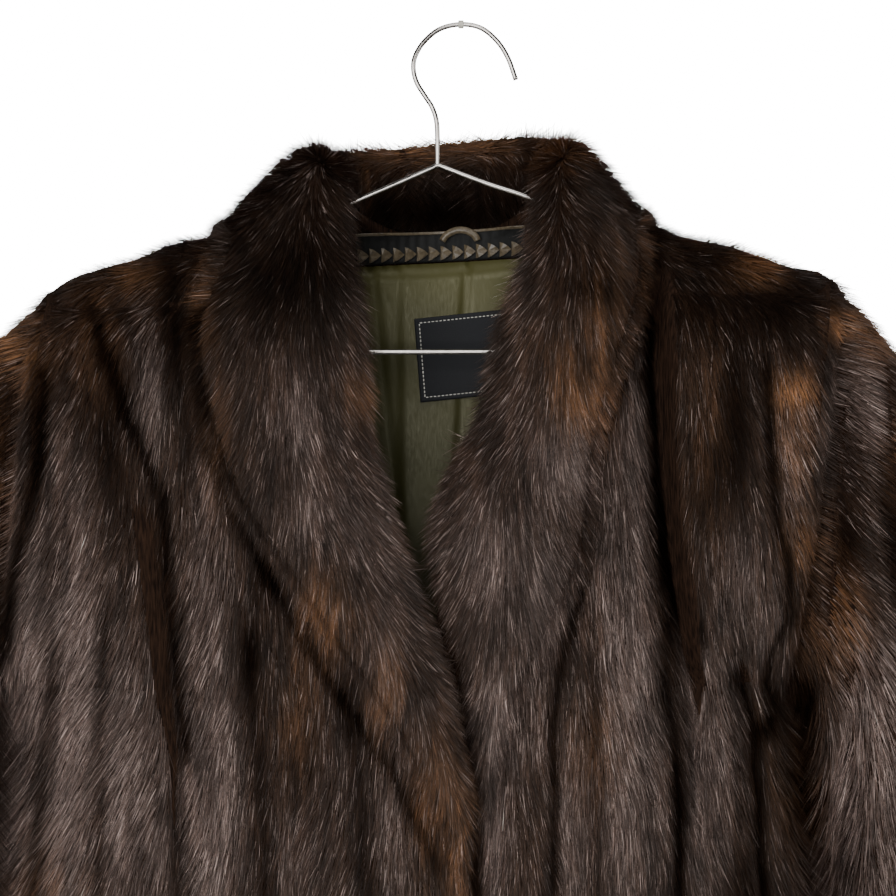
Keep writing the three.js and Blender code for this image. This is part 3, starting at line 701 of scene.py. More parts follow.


# across, down, half width, half height, amount: where painted silvery sheen, a warmer colour or painted
# shade in the folds goes on the fur
SHEEN = [
    (155, 372, 16, 50, 1.1), (212, 545, 16, 88, 0.8), (303, 405, 24, 50, 0.8),
    (318, 495, 28, 36, 0.6), (356, 528, 22, 36, 0.55), (80, 600, 30, 60, 0.6),
    (92, 690, 34, 80, 0.95), (140, 800, 32, 110, 1.1), (70, 830, 26, 90, 1.0),
    (215, 780, 28, 130, 1.25), (300, 850, 26, 80, 0.5), (375, 640, 22, 60, 0.5),
    (395, 800, 22, 80, 0.5), (62, 440, 12, 40, 0.4), (350, 720, 20, 60, 0.3),
    (628, 400, 12, 70, 0.8), (618, 520, 20, 90, 1.2), (628, 660, 20, 90, 1.0),
    (632, 800, 26, 90, 0.9), (575, 820, 20, 110, 0.85), (565, 450, 24, 40, 1.2),
    (490, 540, 34, 50, 0.75), (540, 580, 26, 60, 0.9), (506, 705, 30, 50, 0.9),
    (495, 820, 16, 70, 0.9), (530, 380, 24, 60, 0.1), (738, 548, 28, 46, 0.65),
    (720, 740, 14, 100, 0.8), (690, 760, 17, 130, 1.1), (866, 740, 34, 90, 1.6),
    (880, 830, 28, 70, 1.6), (846, 450, 16, 50, 0.45), (788, 440, 12, 50, 0.5),
    (520, 250, 16, 50, 0.25), (850, 400, 30, 60, 0.75), (770, 620, 16, 40, 0.4),
    (24, 520, 22, 60, 0.6), (28, 660, 26, 110, 1.0), (30, 800, 26, 90, 1.2), (85, 490, 24, 50, 0.5),
    (165, 690, 20, 70, 0.5), (872, 650, 26, 50, 0.6), (850, 860, 30, 50, 0.7),
]
WARM = [
    (140, 266, 28, 18, 0.9), (24, 345, 28, 32, 1.7), (212, 300, 12, 44, 0.8),
    (352, 380, 14, 24, 0.6), (328, 602, 20, 40, 0.9), (100, 330, 20, 50, 0.5),
    (385, 680, 16, 50, 0.7), (430, 790, 16, 60, 0.8), (458, 830, 12, 60, 0.8),
    (300, 700, 20, 60, 0.4), (8, 470, 12, 60, 0.8), (45, 880, 30, 40, 0.5),
    (585, 385, 26, 40, 0.8), (604, 300, 16, 60, 0.6), (560, 350, 26, 40, 0.3),
    (752, 262, 24, 17, 1.8), (690, 236, 24, 14, 0.7), (790, 376, 17, 18, 1.7),
    (829, 317, 17, 13, 1.5), (800, 530, 18, 30, 0.8), (832, 616, 28, 40, 1.0),
    (888, 460, 14, 32, 1.1), (705, 430, 16, 100, 0.4), (870, 330, 24, 24, 1.1),
    (790, 430, 14, 40, 0.6), (795, 760, 26, 60, 0.5), (400, 150, 34, 12, 1.6),
    (470, 146, 30, 10, 1.3), (560, 150, 30, 14, 0.9), (590, 740, 20, 50, 0.4),
    (225, 420, 16, 60, 0.5), (372, 175, 14, 30, 0.5), (640, 260, 10, 40, 0.4),
]
# Painted shade in the folds
FOLD_SHADE = [
    (285, 270, 56, 56, 0.75), (112, 410, 20, 110, 0.6), (180, 310, 17, 60, 0.9),
    (46, 405, 9, 50, 0.9), (268, 565, 14, 36, 0.6), (250, 640, 14, 50, 0.45),
    (300, 760, 22, 60, 0.4), (664, 540, 19, 44, 1.0), (682, 582, 18, 32, 1.0),
    (706, 470, 24, 60, 0.5), (735, 440, 16, 80, 0.5),
    (697, 618, 9, 18, 0.9), (797, 745, 19, 66, 1.0), (757, 714, 8, 16, 0.9),
    (690, 300, 34, 44, 0.5), (770, 300, 34, 24, 0.7), (730, 370, 14, 60, 0.5),
    (640, 190, 16, 20, 0.3), (590, 275, 34, 16, 0.55), (440, 204, 92, 28, 1.0),
    (885, 545, 8, 50, 0.7), (840, 540, 16, 30, 0.5), (160, 640, 12, 60, 0.4),
    (676, 800, 10, 110, 0.4), (345, 250, 20, 40, 0.4), (350, 680, 20, 50, 0.5), (735, 870, 16, 40, 0.6),
]
# points along it, half width, amount: painted shadow lines in the creases between the folds
CREASE_SHADOWS = [
    ([(647, 205), (646, 300), (650, 420), (653, 480), (662, 540), (680, 605)], 8, 1.0),
    ([(660, 600), (662, 680), (672, 760), (680, 900)], 7, 0.7),
    ([(764, 350), (766, 430), (768, 486), (784, 545), (790, 600)], 7, 0.85),
    ([(790, 600), (768, 640), (766, 715)], 6, 0.8),
    ([(735, 660), (750, 720), (757, 790), (762, 900)], 7, 0.95),
    ([(806, 670), (800, 740), (806, 820)], 13, 1.0),
    ([(95, 290), (130, 400), (165, 480), (172, 560), (180, 640), (190, 740)], 8, 0.9),
    ([(52, 355), (45, 440), (30, 520), (8, 640)], 8, 0.9),
    ([(203, 300), (210, 420), (238, 500), (286, 590), (326, 660), (396, 760), (438, 850)], 7, 0.8),
    ([(643, 225), (632, 320), (612, 400), (594, 450), (584, 560), (560, 640), (552, 720),
      (548, 900)], 5, 0.8),
    ([(60, 640), (50, 760), (40, 900)], 8, 0.5),
    ([(250, 620), (262, 760), (270, 900)], 10, 0.55),
    ([(456, 660), (470, 740), (478, 900)], 8, 0.8),
    ([(350, 700), (362, 800), (372, 900)], 8, 0.5),
    ([(110, 600), (108, 760), (104, 900)], 6, 0.5),
    ([(180, 700), (176, 800), (180, 900)], 7, 0.6),
    ([(872, 440), (880, 520), (892, 600)], 6, 0.7),
    ([(590, 640), (594, 760), (598, 900)], 6, 0.4),
]


# Painted shadow along the creases, from 0 to 1 across each line
def crease_shadow(places):
    across, down = places
    total = np.zeros_like(across)
    for line, wide, amount in CREASE_SHADOWS:
        line = np.array(line, float)
        x = np.interp(down, line[:, 1], line[:, 0])
        ends = smooth((down - line[0, 1] + 20) / 30) * smooth((line[-1, 1] + 20 - down) / 30)
        total = np.maximum(total, amount * ends * np.exp(-((across - x) / wide) ** 2))
    return total


def field(places, table):
    across, down = places
    total = np.zeros_like(across)
    for x, y, wide, high, amount in table:
        total += amount * np.exp(-((across - x) / wide) ** 2 - ((down - y) / high) ** 2)
    return total


def body_lean(p):
    """How far hair on a panel leans sideways for each unit that it runs down."""
    lean = np.interp(p[:, 0], [-280, -200, -100, 0, 100, 170, 260],
                     [-0.30, -0.36, -0.14, 0.0, 0.05, 0.18, 0.35])
    crown = smooth((p[:, 2] + 190) / 60)
    return lean * (1 - crown) + crown * np.sign(p[:, 0] + 10) * 0.75


def sample(surface, count, u_span):
    """Places on a surface in step with its area times a weight."""
    n, m = 48, 72
    ue, ve = np.linspace(*u_span, n + 1), np.linspace(0, 1, m + 1)
    u, v = np.meshgrid(ue, ve)
    p = surface.at(u, v, PILE)
    a, b = p[1:, :-1] - p[:-1, :-1], p[:-1, 1:] - p[:-1, :-1]
    area = np.linalg.norm(np.cross(a, b), axis=-1)
    middle = (p[:-1, :-1] + p[1:, 1:]) / 2
    share = (area * density(middle.reshape(-1, 3)).reshape(area.shape)).ravel()
    cell = rng.choice(len(share), count, p=share / share.sum())
    row, column = np.divmod(cell, n)
    uu = ue[column] + rng.random(count) * (ue[1] - ue[0])
    vv = ve[row] + rng.random(count) * (ve[1] - ve[0])
    return uu, vv


def clouds(p, across, down, seed):
    """Soft random values from 0 to 1, drawn out down the coat."""
    table = np.random.default_rng(seed).random((97, 97))
    a = (p[:, 0] + 0.45 * p[:, 1]) / across + 400
    b = (p[:, 2] + 0.6 * np.sin(p[:, 0] / across) * down) / down + 400
    i, j = np.floor(a).astype(int), np.floor(b).astype(int)
    f, g = smooth(a - i), smooth(b - j)
    i0, i1, j0, j1 = i % 97, (i + 1) % 97, j % 97, (j + 1) % 97
    return mix(mix(table[i0, j0], table[i1, j0], f), mix(table[i0, j1], table[i1, j1], f), g)


def density(p):
    """Fewer hairs far down, more of them between the sleeves and the body."""
    x, z = p[:, 0], p[:, 2]
    side_x = np.where(x < CENTRE_X, left_edge(z), right_edge(z))
    between = (np.abs(x - side_x) < 11) * smooth((UNDERARM_Z + 20 - z) / 40) * (z > -540)
    return np.interp(z, [-950, -540, -500, -60], [0.34, 0.4, 1.0, 1.0]) * (1 + 1.4 * between)


def unit(v):
    return v / (np.linalg.norm(v, axis=-1, keepdims=True) + 1e-9)


def strands(surface, count, u_span, groom, wide):
    """Root, tip and half width of each hair, with what its tint depends on."""
    u, v = sample(surface, count, u_span)
    e = 0.004
    pile = surface.pile(u, v)
    root = surface.at(u, v, pile + 0.8)
    du = surface.at(u + e, v, pile) - surface.at(u - e, v, pile)
    dv = surface.at(u, np.minimum(v + e, 1), pile) - surface.at(u, np.maximum(v - e, 0), pile)
    normal = unit(np.cross(du, dv))
    out = surface.outward(u, v)
    normal *= np.where(np.sum(out * normal, -1, keepdims=True) < 0, -1, 1)
    flow = groom(root, unit(du), unit(dv), u, v)
    flow = unit(flow - normal * np.sum(flow * normal, -1, keepdims=True))
    side = np.cross(normal, flow)
    x, y, z = root.T
    sway = (0.20 * np.sin(x / 31 + 1.3 * np.sin(z / 47)) + 0.16 * np.sin(z / 22 + x / 13)
            + 0.12 * np.sin(x / 7.1 - z / 9.3))
    turn = 0.5 * sway + rng.normal(0, 0.09, count)
    flow = unit(flow * np.cos(turn)[:, None] + side * np.sin(turn)[:, None])
    stray = rng.random(count) < 0.10
    length = HAIR_LONG * rng.uniform(0.62, 1.15, count) * np.where(stray, 1.25, 1)
    far_down = z < -520
    crown = smooth((z - shoulder_z(x) + 34) / 20) * isinstance(surface, Panel)
    # Short dense hair where the surface turns away from the front
    facing = smooth(np.abs(normal[:, 1]) / 0.62)
    turned = (1 - facing) * smooth((z + 420) / 120) * (y < 60)
    brim = turned * smooth((z + 260) / 60) * isinstance(surface, Collar)
    length *= 1 - 0.34 * turned * (1 - brim) - 0.12 * crown
    length *= np.where(far_down, 1.35, 1)
    # Hair stands up where the pile is thin, and fills the gap between sleeve and body
    stand = 1 - pile / PILE
    side_x = np.where(x < CENTRE_X, left_edge(z), right_edge(z))
    gap = smooth((UNDERARM_Z + 20 - z) / 40) * (np.abs(x - side_x) < 30) * stand
    gap *= smooth((z + 770) / 40)
    length *= 1 + 0.6 * gap
    low = np.radians(rng.normal(LIFT_ROOT, 6, count) + 22 * gap + 6 * turned + 14 * brim
                     + 10 * crown)
    high = np.radians(rng.normal(LIFT_TIP, 6, count) + np.where(stray, 8, 0) + 40 * gap
                      + 12 * turned + 16 * brim + 14 * crown)
    a = flow * np.cos(low)[:, None] + normal * np.sin(low)[:, None]
    b = flow * np.cos(high)[:, None] + normal * np.sin(high)[:, None]
    tip = root + (a + b) * (length * 0.5)[:, None]
    # Neighbouring tips draw together into tufts
    key = (np.floor(x / TUFT).astype(np.int64) * 73856093
           ^ np.floor(y / TUFT).astype(np.int64) * 19349663
           ^ np.floor(z / (TUFT * 1.4)).astype(np.int64) * 83492791)
    _, group = np.unique(key, return_inverse=True)
    group = group.ravel()
    n = np.bincount(group)
    mean = np.stack([np.bincount(group, tip[:, k]) / n for k in range(3)], -1)[group]
    pull = 0.34 * rng.random(count)[:, None] * (n[group] > 2)[:, None]
    tip = tip + (mean - tip) * pull
    across = unit(np.cross(tip - root, normal))
    twist = rng.normal(0, 0.38, count)
    across = unit(across * np.cos(twist)[:, None] + normal * np.sin(twist)[:, None])
    half = wide / 2 * rng.uniform(0.6, 1.25, count) * np.where(far_down, 1.6, 1)
    return root, tip, across * half[:, None], turned


DARK = np.array([0.0165, 0.0080, 0.0048])
# The lighter taupe is the colour that painted sheen mixes into the dark hair
SHEEN_TAUPE = np.array([0.120, 0.085, 0.074])
RUST = np.array([0.330, 0.150, 0.062])
# Colour of painted glints on single hairs
GLINT_SILVER = np.array([0.480, 0.370, 0.330])


def hair_tints(surface, root, turned, tone):
    """Colour of each hair, with painted sheen, glints, light and fold shade in it, and how deep it lies
    in a fold, which sets its painted shade.
    """
    count = len(root)
    x, y, z = root.T
    places = front_place(root)
    limit = 110 if isinstance(surface, Collar) else 50
    front = smooth((limit - y) / 40) * smooth((z + 560) / 60) * (surface is not BACK)
    fan = (x - CENTRE_X) / (0.86 + 0.14 * smooth((-z - 150) / 400))
    strip = 0.5 + 0.5 * np.cos(fan / 4.9 + 0.5 * np.sin(z / 70))
    lock = clouds(root, 2.6, 20, 5)
    cloud = clouds(root, 12, 55, 6)
    # Painted sheen: the table places it on the front and a wavy amount stands in for it elsewhere
    generic = 0.35 + 0.25 * np.sin(x / 15 + z / 90)
    sheen = mix(generic, np.minimum(field(places, SHEEN), 1), front)
    glow = mix(0.15, field(places, WARM), front)
    warm = np.clip(glow, 0, 1)
    hot = np.clip(glow - 0.9, 0, 0.8)
    # Painted shade: how far the hair lies in a fold or crease, which darkens it and dulls its gloss
    deep = np.clip(field(places, FOLD_SHADE) + crease_shadow(places), 0, 1) * front
    painted_sheen = sheen * (0.5 + 0.7 * cloud) * (0.72 + 0.4 * strip) + 0.14 * (lock - 0.4)
    painted_sheen = np.clip(0.04 + painted_sheen, 0, 1) * (1 - deep)
    base = mix(DARK, SHEEN_TAUPE, painted_sheen[:, None])
    rusty = np.clip(0.07 + 0.8 * warm, 0, 1) * rng.uniform(0.7, 1.0, count) * (0.7 + 0.3 * cloud)
    rust = RUST * ((0.45 + 0.75 * lock) * (1 + 1.7 * hot))[:, None]
    base = mix(base, rust, rusty[:, None])
    # Painted glints: a share of hairs, larger in painted sheen, is mixed toward a silvery colour
    glint = rng.random(count) < (0.05 + 0.30 * painted_sheen) * (1 - deep)
    share = rng.uniform(0.25, 1.0, count)[:, None]
    base = np.where(glint[:, None], mix(base, GLINT_SILVER, share), base)
    # Painted fold shade, times random tone from lock and cloud
    shade = (1 - 0.86 * deep) * (0.60 + 0.72 * lock) * (0.82 + 0.36 * cloud)
    base = base * shade[:, None] * tone
    chance = np.clip(np.exp(rng.normal(0, 0.30, count)), 0.5, 1.9)
    # Painted light: hair where the surface turns away from the front is made up to 1.8 times lighter,
    # except in fold shade
    return base * (chance * (1 + 0.8 * turned * (1 - deep)))[:, None], deep


def fur(name, surface, count, u_span, groom, wide=0.52, tone=1.0):
    """Hair on a surface, one long thin triangle for each, from its root to its tip."""
    root, tip, half, turned = strands(surface, count, u_span, groom, wide)
    tints, deep = hair_tints(surface, root, turned, tone)
    points = np.stack([root - half, root + half, tip], 1).reshape(-1, 3)
    # One small cell of the colour map for each hair
    cells = int(math.ceil(math.sqrt(count)))
    cx, cy = np.divmod(np.arange(count), cells)
    corner = np.array([(0.12, 0.1), (0.88, 0.1), (0.5, 0.9)])
    baked = (np.stack([cx, cy], -1)[:, None, :] + corner[None]) / cells
    shift = rng.random((count, 1)) * 40
    along = np.stack([shift + np.array([[0.0, 1.0, 0.5]]),
                      shift * 0.7 + np.array([[0.0, 0.0, 1.0]])], -1)
    mesh = bpy.data.meshes.new(name)
    corners = count * 3
    mesh.vertices.add(corners)
    mesh.vertices.foreach_set("co", (points / 1000).astype(np.float32).ravel())
    mesh.loops.add(corners)
    mesh.loops.foreach_set("vertex_index", np.arange(corners, dtype=np.int32))
    mesh.polygons.add(count)
    mesh.polygons.foreach_set("loop_start", np.arange(0, corners, 3, dtype=np.int32))
    mesh.polygons.foreach_set("use_smooth", np.ones(count, dtype=bool))
    for layer, places in (("OFBake", baked), ("strand", along)):
        mesh.uv_layers.new(name=layer).data.foreach_set("uv", places.astype(np.float32).ravel())
    rgba = np.ones((corners, 4), np.float32)
    rgba[:, :3] = np.clip(np.stack([tints * k for k in (0.6, 0.6, 1.2)], 1).reshape(-1, 3), 0, 1)
    # Alpha: gloss, cut down where painted fold shade lies
    rgba[:, 3] = np.repeat(1 - 0.95 * deep, 3)
    mesh.attributes.new("tint", "FLOAT_COLOR", "POINT").data.foreach_set("color", rgba.ravel())
    mesh.materials.append(HAIR)
    mesh.update(calc_edges=True)
    ob = bpy.data.objects.new(name, mesh)
    bpy.context.scene.collection.objects.link(ob)
    return ob


def groom_body(root, du, dv, u, v):
    """Down the panel, spreading to its sides and over the shoulders."""
    flow = np.zeros_like(root)
    flow[:, 0] = body_lean(root)
    flow[:, 2] = -1
    flow[:, 1] = np.where(root[:, 2] > -200, -0.4 * np.sign(-root[:, 1]), 0)
    return flow


def groom_sleeve(sign):
    """Down the sleeve and a little outward."""
    def groom(root, du, dv, u, v):
        return dv + np.array([0.18 * sign, 0, 0])
    return groom


def groom_collar(root, du, dv, u, v):
    """Down the collar, fanning to both of its edges from its middle."""
    fan = np.interp(u, [0.0, 0.16, 0.3, 0.42, 0.55, 0.7, 1.0], [-1.0, -0.9, -0.45, 0.0, 0.5, 0.9, 1.0])
    neck = smooth((0.30 - v) / 0.12)
    at_neck = np.interp(u, [-0.3, 0.2, 0.27, 0.36, 0.5, 1], [-0.9, -0.9, 0.0, 0.7, 0.7, 0.9])
    fan = fan * (1 - neck) + neck * at_neck
    along = np.where((v < 0.04) & (rng.random(len(v)) < 0.6), -0.9, 1 - 0.45 * neck)
    return dv * along[:, None] + du * fan[:, None]


def span(count):
    return np.linspace(0, 1, count)


# Pelts and hair
skins = {
    "front_right": pelt("front_right_skin", FRONT_R, span(57), span(90)),
    "front_left": pelt("front_left_skin", FRONT_L, span(57), span(90)),
    "back": pelt("back_skin", BACK, span(73), span(64), satin_from=0.09),
}
for name, surface in (("sleeve_right", SLEEVE_R), ("sleeve_left", SLEEVE_L)):
    skins[name] = pelt(name + "_skin", surface, np.arange(56) / 56, span(56), 0.6, round_rows=True)
for name, surface in (("collar_right", COLLAR_R), ("collar_left", COLLAR_L)):
    rings = surface.at(*np.meshgrid(np.arange(44) / 44, span(110)), PILE)
    skins[name] = ringed(name + "_skin", rings, UNDER)

hairs = {
    "front_right": fur("front_right_hair", FRONT_R, 150000, (0.0, 1.0), groom_body),
    "front_left": fur("front_left_hair", FRONT_L, 160000, (0.1, 1.0), groom_body),
    "back": fur("back_hair", BACK, 74000, (0.0, 1.0), groom_body, wide=0.62),
    "sleeve_right": fur("sleeve_right_hair", SLEEVE_R, 74000, (0.0, 1.0), groom_sleeve(-1)),
    "sleeve_left": fur("sleeve_left_hair", SLEEVE_L, 90000, (0.0, 1.0), groom_sleeve(1)),
    "collar_right": fur("collar_right_hair", COLLAR_R, 134000, (-0.13, 0.70), groom_collar, tone=0.92),
    "collar_left": fur("collar_left_hair", COLLAR_L, 122000, (-0.13, 0.70), groom_collar, tone=0.92),
}

# Inside the neck


def back_inside(x, z):
    top = back_top(x)
    drop = WALL * np.clip(1 - (top - z) / 90, 0, 1)
    return SEAM / 2 + np.maximum(0, face_depth(1, x, z + drop, top, WALL))


def neck_tilt(x):
    return 0.05 * (x - CENTRE_X)


def hung(name, columns, rows, near, thick, place, material, bulge=None):
    """A thin closed piece in front of the back's inner face; place gives x and z for u, v."""
    u, v = np.meshgrid(span(columns + 1), span(rows + 1))
    x, z = place(u, v)
    y = back_inside(x, z) - near
    if bulge:
        y = y - bulge(u, v, x, z)
    return two_skins(name, np.stack([x, y - thick, z], -1), np.stack([x, y, z], -1), [material])


def lining_place(u, v):
    share = mix(0.12, 0.88, u)
    x = mix(-250.0, 205.0, share)
    for _ in range(2):
        high = np.minimum(-134.5 + neck_tilt(x), shoulder_z(x) - 44)
        z = mix(high, HEM_Z + 35, v)
        x = mix(left_edge(z), right_edge(z), share)
    return x, z


def lining_bulge(u, v, x, z):
    seam = 1.4 * np.exp(-((x - 3 - 0.03 * (z + 140)) / 1.6) ** 2)
    patch = 1.0 * smooth((x + 36) / 1.2) * smooth((z + 330) / 30)
    wave = 0.8 * np.sin((z + 0.25 * x) / 11) * smooth((z + 260) / 50)
    pleat = 1.2 * np.exp(-((x + 52 + 0.1 * (z + 150)) / 2.5) ** 2)
    return 1.6 + patch + wave - seam - pleat


lining = hung("back_lining", 130, 70, 1.2, 1.0, lining_place, SATIN, lining_bulge)


def ribbon_place(u, v):
    x = mix(-62.0, 38.0, u)
    return x, mix(-116.0, -133.6, v) + neck_tilt(x)


def ribbon_bulge(u, v, x, z):
    return 0.22 * np.sin(x / 0.92) * smooth(v / 0.15) + 0.5 * np.exp(-((v - 0.04) / 0.06) ** 2)


ribbon = hung("pleated_ribbon", 300, 10, 2.6, 1.0, ribbon_place, RIBBON, ribbon_bulge)


def thin_edge_place(u, v):
    x = mix(-62.0, 38.0, u)
    return x, mix(-115.6, -117.2, v) + neck_tilt(x)


ribbon_edge = hung("ribbon_edge", 120, 3, 4.1, 0.6, thin_edge_place, BRAID)


def braid_piece():
    """Folded satin points, each a closed wedge with its tip to the right."""
    points, faces = [], []
    count, left, right = 14, -61.0, 37.0
    step = (right - left) / count
    outline = [(0.0, -124.2), (0.30, -125.0), (0.66, -126.6), (0.98, -128.6), (0.66, -130.6),
               (0.28, -132.2), (0.0, -132.8), (0.10, -128.5)]
    lift = [0.5, 1.3, 1.2, 0.3, 1.2, 1.3, 0.5, 1.9]
    m = len(outline)
    heart = m - 1
    for k in range(count):
        n = len(points)
        for side in (1, 0):
            for (t, z), up in zip(outline, lift):
                x = left + step * (k + t)
                z = z + neck_tilt(x)
                y = float(back_inside(np.array(x), np.array(z)))
                points.append((x, y - 4.7 - side * (0.5 + up), z))
        for a in range(heart):
            b = (a + 1) % heart
            faces.append([n + heart, n + a, n + b])
            faces.append([n + m + heart, n + m + b, n + m + a])
            faces.append([n + a, n + m + a, n + m + b, n + b])
    return make_object("satin_points", np.array(points), faces, [BRAID], soft=False)


braid = braid_piece()


def strap(name, path, width, thick, material, gap, bands=24):
    """A narrow closed strip along a line in front of the back's inner face."""
    path = np.array(path, float)
    t, s = span(len(path)), span(bands)
    x, z = np.interp(s, t, path[:, 0]), np.interp(s, t, path[:, 1])
    for _ in range(3):
        x[1:-1] = (x[:-2] + 2 * x[1:-1] + x[2:]) / 4
        z[1:-1] = (z[:-2] + 2 * z[1:-1] + z[2:]) / 4
    dx, dz = np.gradient(x), np.gradient(z)
    size = np.hypot(dx, dz)
    nx, nz = -dz / size * width / 2, dx / size * width / 2
    y = back_inside(x, np.full_like(x, -121.0)) - gap
    rings = [np.stack([x + nx * a, y - b * thick / 2, z + nz * a], -1)
             for a, b in ((-1, 1), (1, 1), (1, -1), (-1, -1))]
    return ringed(name, np.stack(rings, 1), material)


loop = strap("satin_loop", [(-11, -121.5), (-9, -118), (-4, -115.4), (0, -114.8), (5, -115.8),
                            (9, -119), (10, -121.5)], 4.0, 1.2, BRAID, 7.0)


def label_place(u, v):
    return -27.6 + 57 * u + 3.8 * v, -167.7 + 6 * u - 49.5 * v


def label_bulge(u, v, x, z):
    edge = np.minimum(np.minimum(u, 1 - u) * 57, np.minimum(v, 1 - v) * 49)
    return 0.25 * smooth(edge / 1.2) - 0.25 * np.exp(-((edge - 2.6) / 0.5) ** 2)


label = hung("bare_label", 60, 54, 5.8, 0.8, label_place, LABEL, label_bulge)


BOX = np.array([(0, 2, 6, 4), (1, 5, 7, 3), (0, 4, 5, 1), (2, 3, 7, 6), (0, 1, 3, 2), (4, 6, 7, 5)])


def stitches():
    """Short raised threads along the label's seam."""
    points, faces = [], []
    corners = [(0.05, 0.055), (0.95, 0.055), (0.95, 0.945), (0.05, 0.945)]
    for a in range(4):
        p, q = np.array(corners[a]), np.array(corners[(a + 1) % 4])
        count = 22 if a % 2 == 0 else 19
        side = np.array([-(q - p)[1], (q - p)[0]])
        side = side / np.linalg.norm(side) * 0.0055
        for k in range(count):
            faces += (BOX + len(points)).tolist()
            for end in (0.15, 0.75):
                for w in (-1, 1):
                    x, z = label_place(*(p + (q - p) * (k + end) / count + side * w))
                    y = float(back_inside(np.array(x), np.array(z)))
                    points += [(x, y - 6.9, z), (x, y - 6.45, z)]
    return make_object("label_stitches", np.array(points), faces, [SILVER], soft=False)


label_thread = stitches()

# Hanger

HOOK = [(31.9, -30.7), (27.3, -18), (20.9, -8.1), (11.6, -0.6), (0, 1.5), (-12.2, -1.2),
        (-21.5, -8.7), (-26.7, -17.4), (-27.5, -24.9), (-25.5, -32.5), (-20.9, -40),
        (-16.8, -46.4), (-14.2, -54.5), (-13.6, -65.5), (-13.6, -81)]
ARMS = [(-206, -188.5), (-140, -188.5), (0, -188.5), (120, -188.5), (181, -188.5), (193, -181),
        (196.5, -168), (190, -156), (169, -147), (128, -133), (80, -115.5), (42, -99.8),
        (14, -90.5), (-9, -81.8), (-13.6, -80.4), (-18.5, -82.6), (-40, -92), (-66, -103),
        (-100, -117), (-147, -135), (-196, -152.5), (-217, -162), (-223.5, -175)]


def sweep(name, line, round_trip=False, sides=16, fine=9):
    """The hanger's wire along a smooth line through points."""
    points = [Vector((x, 0, z)) for x, z in line]
    n = len(points)
    path = []
    for i in range(n if round_trip else n - 1):
        a = points[i - 1] if round_trip or i else points[0] * 2 - points[1]
        b, c = points[i], points[(i + 1) % n]
        d = points[(i + 2) % n] if round_trip or i + 2 < n else c * 2 - b
        for k in range(fine):
            t = k / fine
            path.append(0.5 * ((2 * b) + (c - a) * t + (2 * a - 5 * b + 4 * c - d) * t * t
                               + (3 * b - a - 3 * c + d) * t ** 3))
    if not round_trip:
        path.append(points[-1])
    rings = []
    count = len(path)
    for i, p in enumerate(path):
        after = path[(i + 1) % count] if round_trip or i + 1 < count else p * 2 - path[i - 1]
        before = path[i - 1] if round_trip or i else p * 2 - path[1]
        side = (after - before).normalized().cross(Vector((0, 1, 0))).normalized()
        for k in range(sides):
            angle = 2 * math.pi * k / sides
            rings.append(p + side * (WIRE_R * math.cos(angle))
                         + Vector((0, WIRE_R * math.sin(angle), 0)))
    rings = np.array([tuple(p) for p in rings]).reshape(count, sides, 3)
    return ringed(name, rings, CHROME, round_trip)


hook = sweep("hook_wire", HOOK)
arms = sweep("shoulder_wire", ARMS, round_trip=True)


def hook_band(sides=40):
    """The pale band round the top of the hook, turned from a small profile."""
    profile = np.array([(1.72, -1.6), (2.15, -1.6), (2.4, -1.2), (2.4, 1.2), (2.15, 1.6), (1.72, 1.6)])
    angle = 2 * math.pi * np.arange(sides)[:, None] / sides
    r, along = profile[:, 0], profile[:, 1] + 0 * angle
    rings = np.stack([along, r * np.cos(angle), WIRE_R + r * np.sin(angle)], -1)
    return ringed("hook_band_ring", rings, BAND, round_trip=True)


ring_band = hook_band()

# What each piece stands for

for name, ob in skins.items():
    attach(ob, "root")
    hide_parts(name)
for ob in hairs.values():
    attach(ob, "root")
for ob, node, look in (
        (lining, "lining_back", "satin"), (ribbon, "neck_ribbon", "ribbon"),
        (braid, "neck_braid", "satin"), (loop, "hanging_loop", "satin"), (label, "label", "label"),
        (hook, "hanger", "chrome_wire"), (ring_band, "hook_band", "band")):
    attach(ob, "root")
    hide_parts(node)
for ob, look in ((arms, "chrome_wire"), (ribbon_edge, "satin"), (label_thread, "label")):
    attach(ob, "root")

# Camera, lights and surround

scene = bpy.context.scene
eye = bpy.data.cameras.new("camera")
camera = bpy.data.objects.new("camera", eye)
scene.collection.objects.link(camera)
scene.camera = camera
camera.location = (EYE_X / 1000, EYE_Y / 1000, EYE_Z / 1000)
camera.rotation_euler = (math.radians(90), 0, 0)
eye.sensor_width = 36
eye.lens = 36 * -EYE_Y / FRAME_WIDE
eye.clip_start = 0.05
eye.clip_end = 30

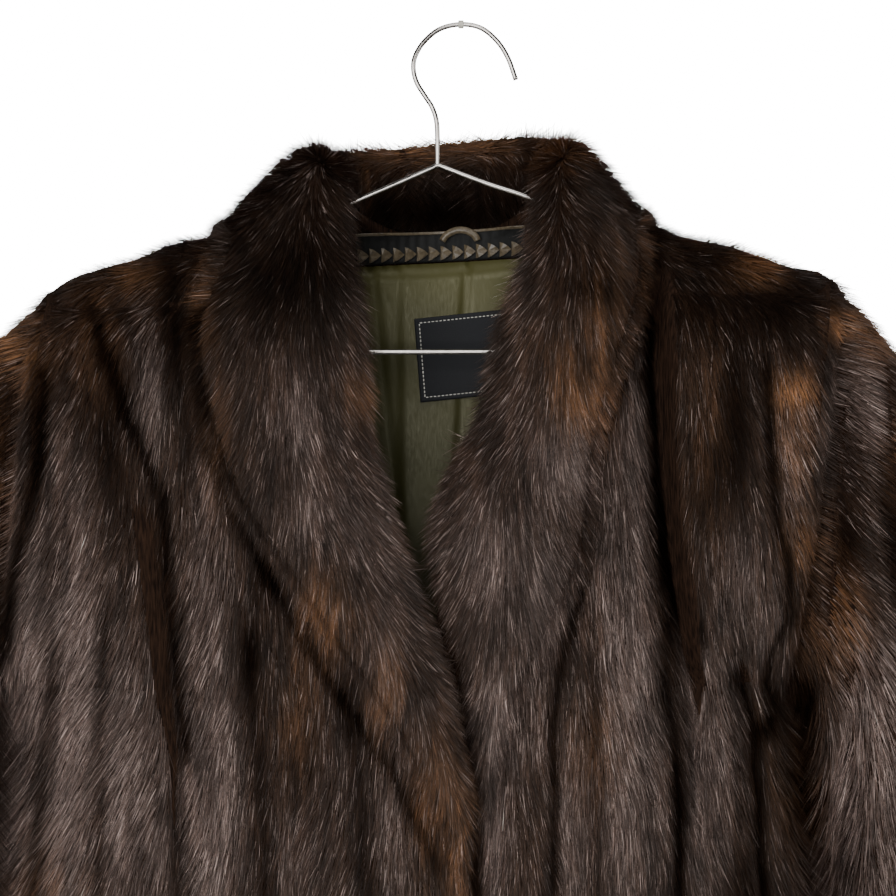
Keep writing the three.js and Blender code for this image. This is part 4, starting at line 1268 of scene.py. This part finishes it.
pale, tree, shader = node_material("pale_ground", [("Roughness", 0.9)])
grain = noise(tree, object_coords(tree), 30, 3)
link(tree, ramp(tree, grain, [(0.3, 0.86), (0.7, 0.8858)]), shader.inputs["Base Color"])
ground = bpy.data.meshes.new("floor")
ground.from_pydata([(-4, -3, -1.6), (4, -3, -1.6), (4, 2.2, -1.6), (-4, 2.2, -1.6)], [], [(0, 1, 2, 3)])
ground.materials.append(pale)
floor = bpy.data.objects.new("floor", ground)
scene.collection.objects.link(floor)


def lamp(name, where, aim, wide, tall, power):
    data = bpy.data.lights.new(name, "AREA")
    data.shape = "RECTANGLE"
    data.size = wide
    data.size_y = tall
    data.energy = power
    ob = bpy.data.objects.new(name, data)
    scene.collection.objects.link(ob)
    ob.location = where
    ob.rotation_euler = (Vector(aim) - Vector(where)).to_track_quat("-Z", "Y").to_euler()


lamp("front_box", (-0.5, -2.0, -0.15), (0, 0, -0.4), 1.3, 1.0, 30)
lamp("right_box", (1.9, -1.3, -0.1), (0, 0, -0.3), 0.8, 1.4, 14)
lamp("left_box", (-1.9, -1.1, -0.1), (0, 0, -0.4), 0.8, 1.4, 12)
lamp("top_box", (0.1, -0.9, 1.1), (0, 0, -0.2), 1.0, 0.8, 8)

world = bpy.data.worlds.new("studio")
scene.world = world
world.use_nodes = True
tree = world.node_tree
background = tree.nodes["Background"]
# Dim round the coat and pale behind it, most of all where the camera looks straight at it
coords = add_node(tree, "TexCoord")
parts = add_node(tree, "SeparateXYZ")
link(tree, coords.outputs["Generated"], parts.inputs["Vector"])
half = add_node(tree, "Math", [(1, 0.5), (2, 0.5)], "MULTIPLY_ADD")
link(tree, parts.outputs["Y"], half.inputs[0])
sky = ramp(tree, half.outputs["Value"], [(0.3, 0.016), (0.62, 0.028), (0.955, 0.06), (0.975, 1.0)])
link(tree, sky, background.inputs["Color"])
seen = add_node(tree, "LightPath")
strength = add_node(tree, "MapRange", [("To Min", 5.0), ("To Max", 18.0)])
link(tree, seen.outputs["Is Camera Ray"], strength.inputs["Value"])
link(tree, strength.outputs["Result"], background.inputs["Strength"])
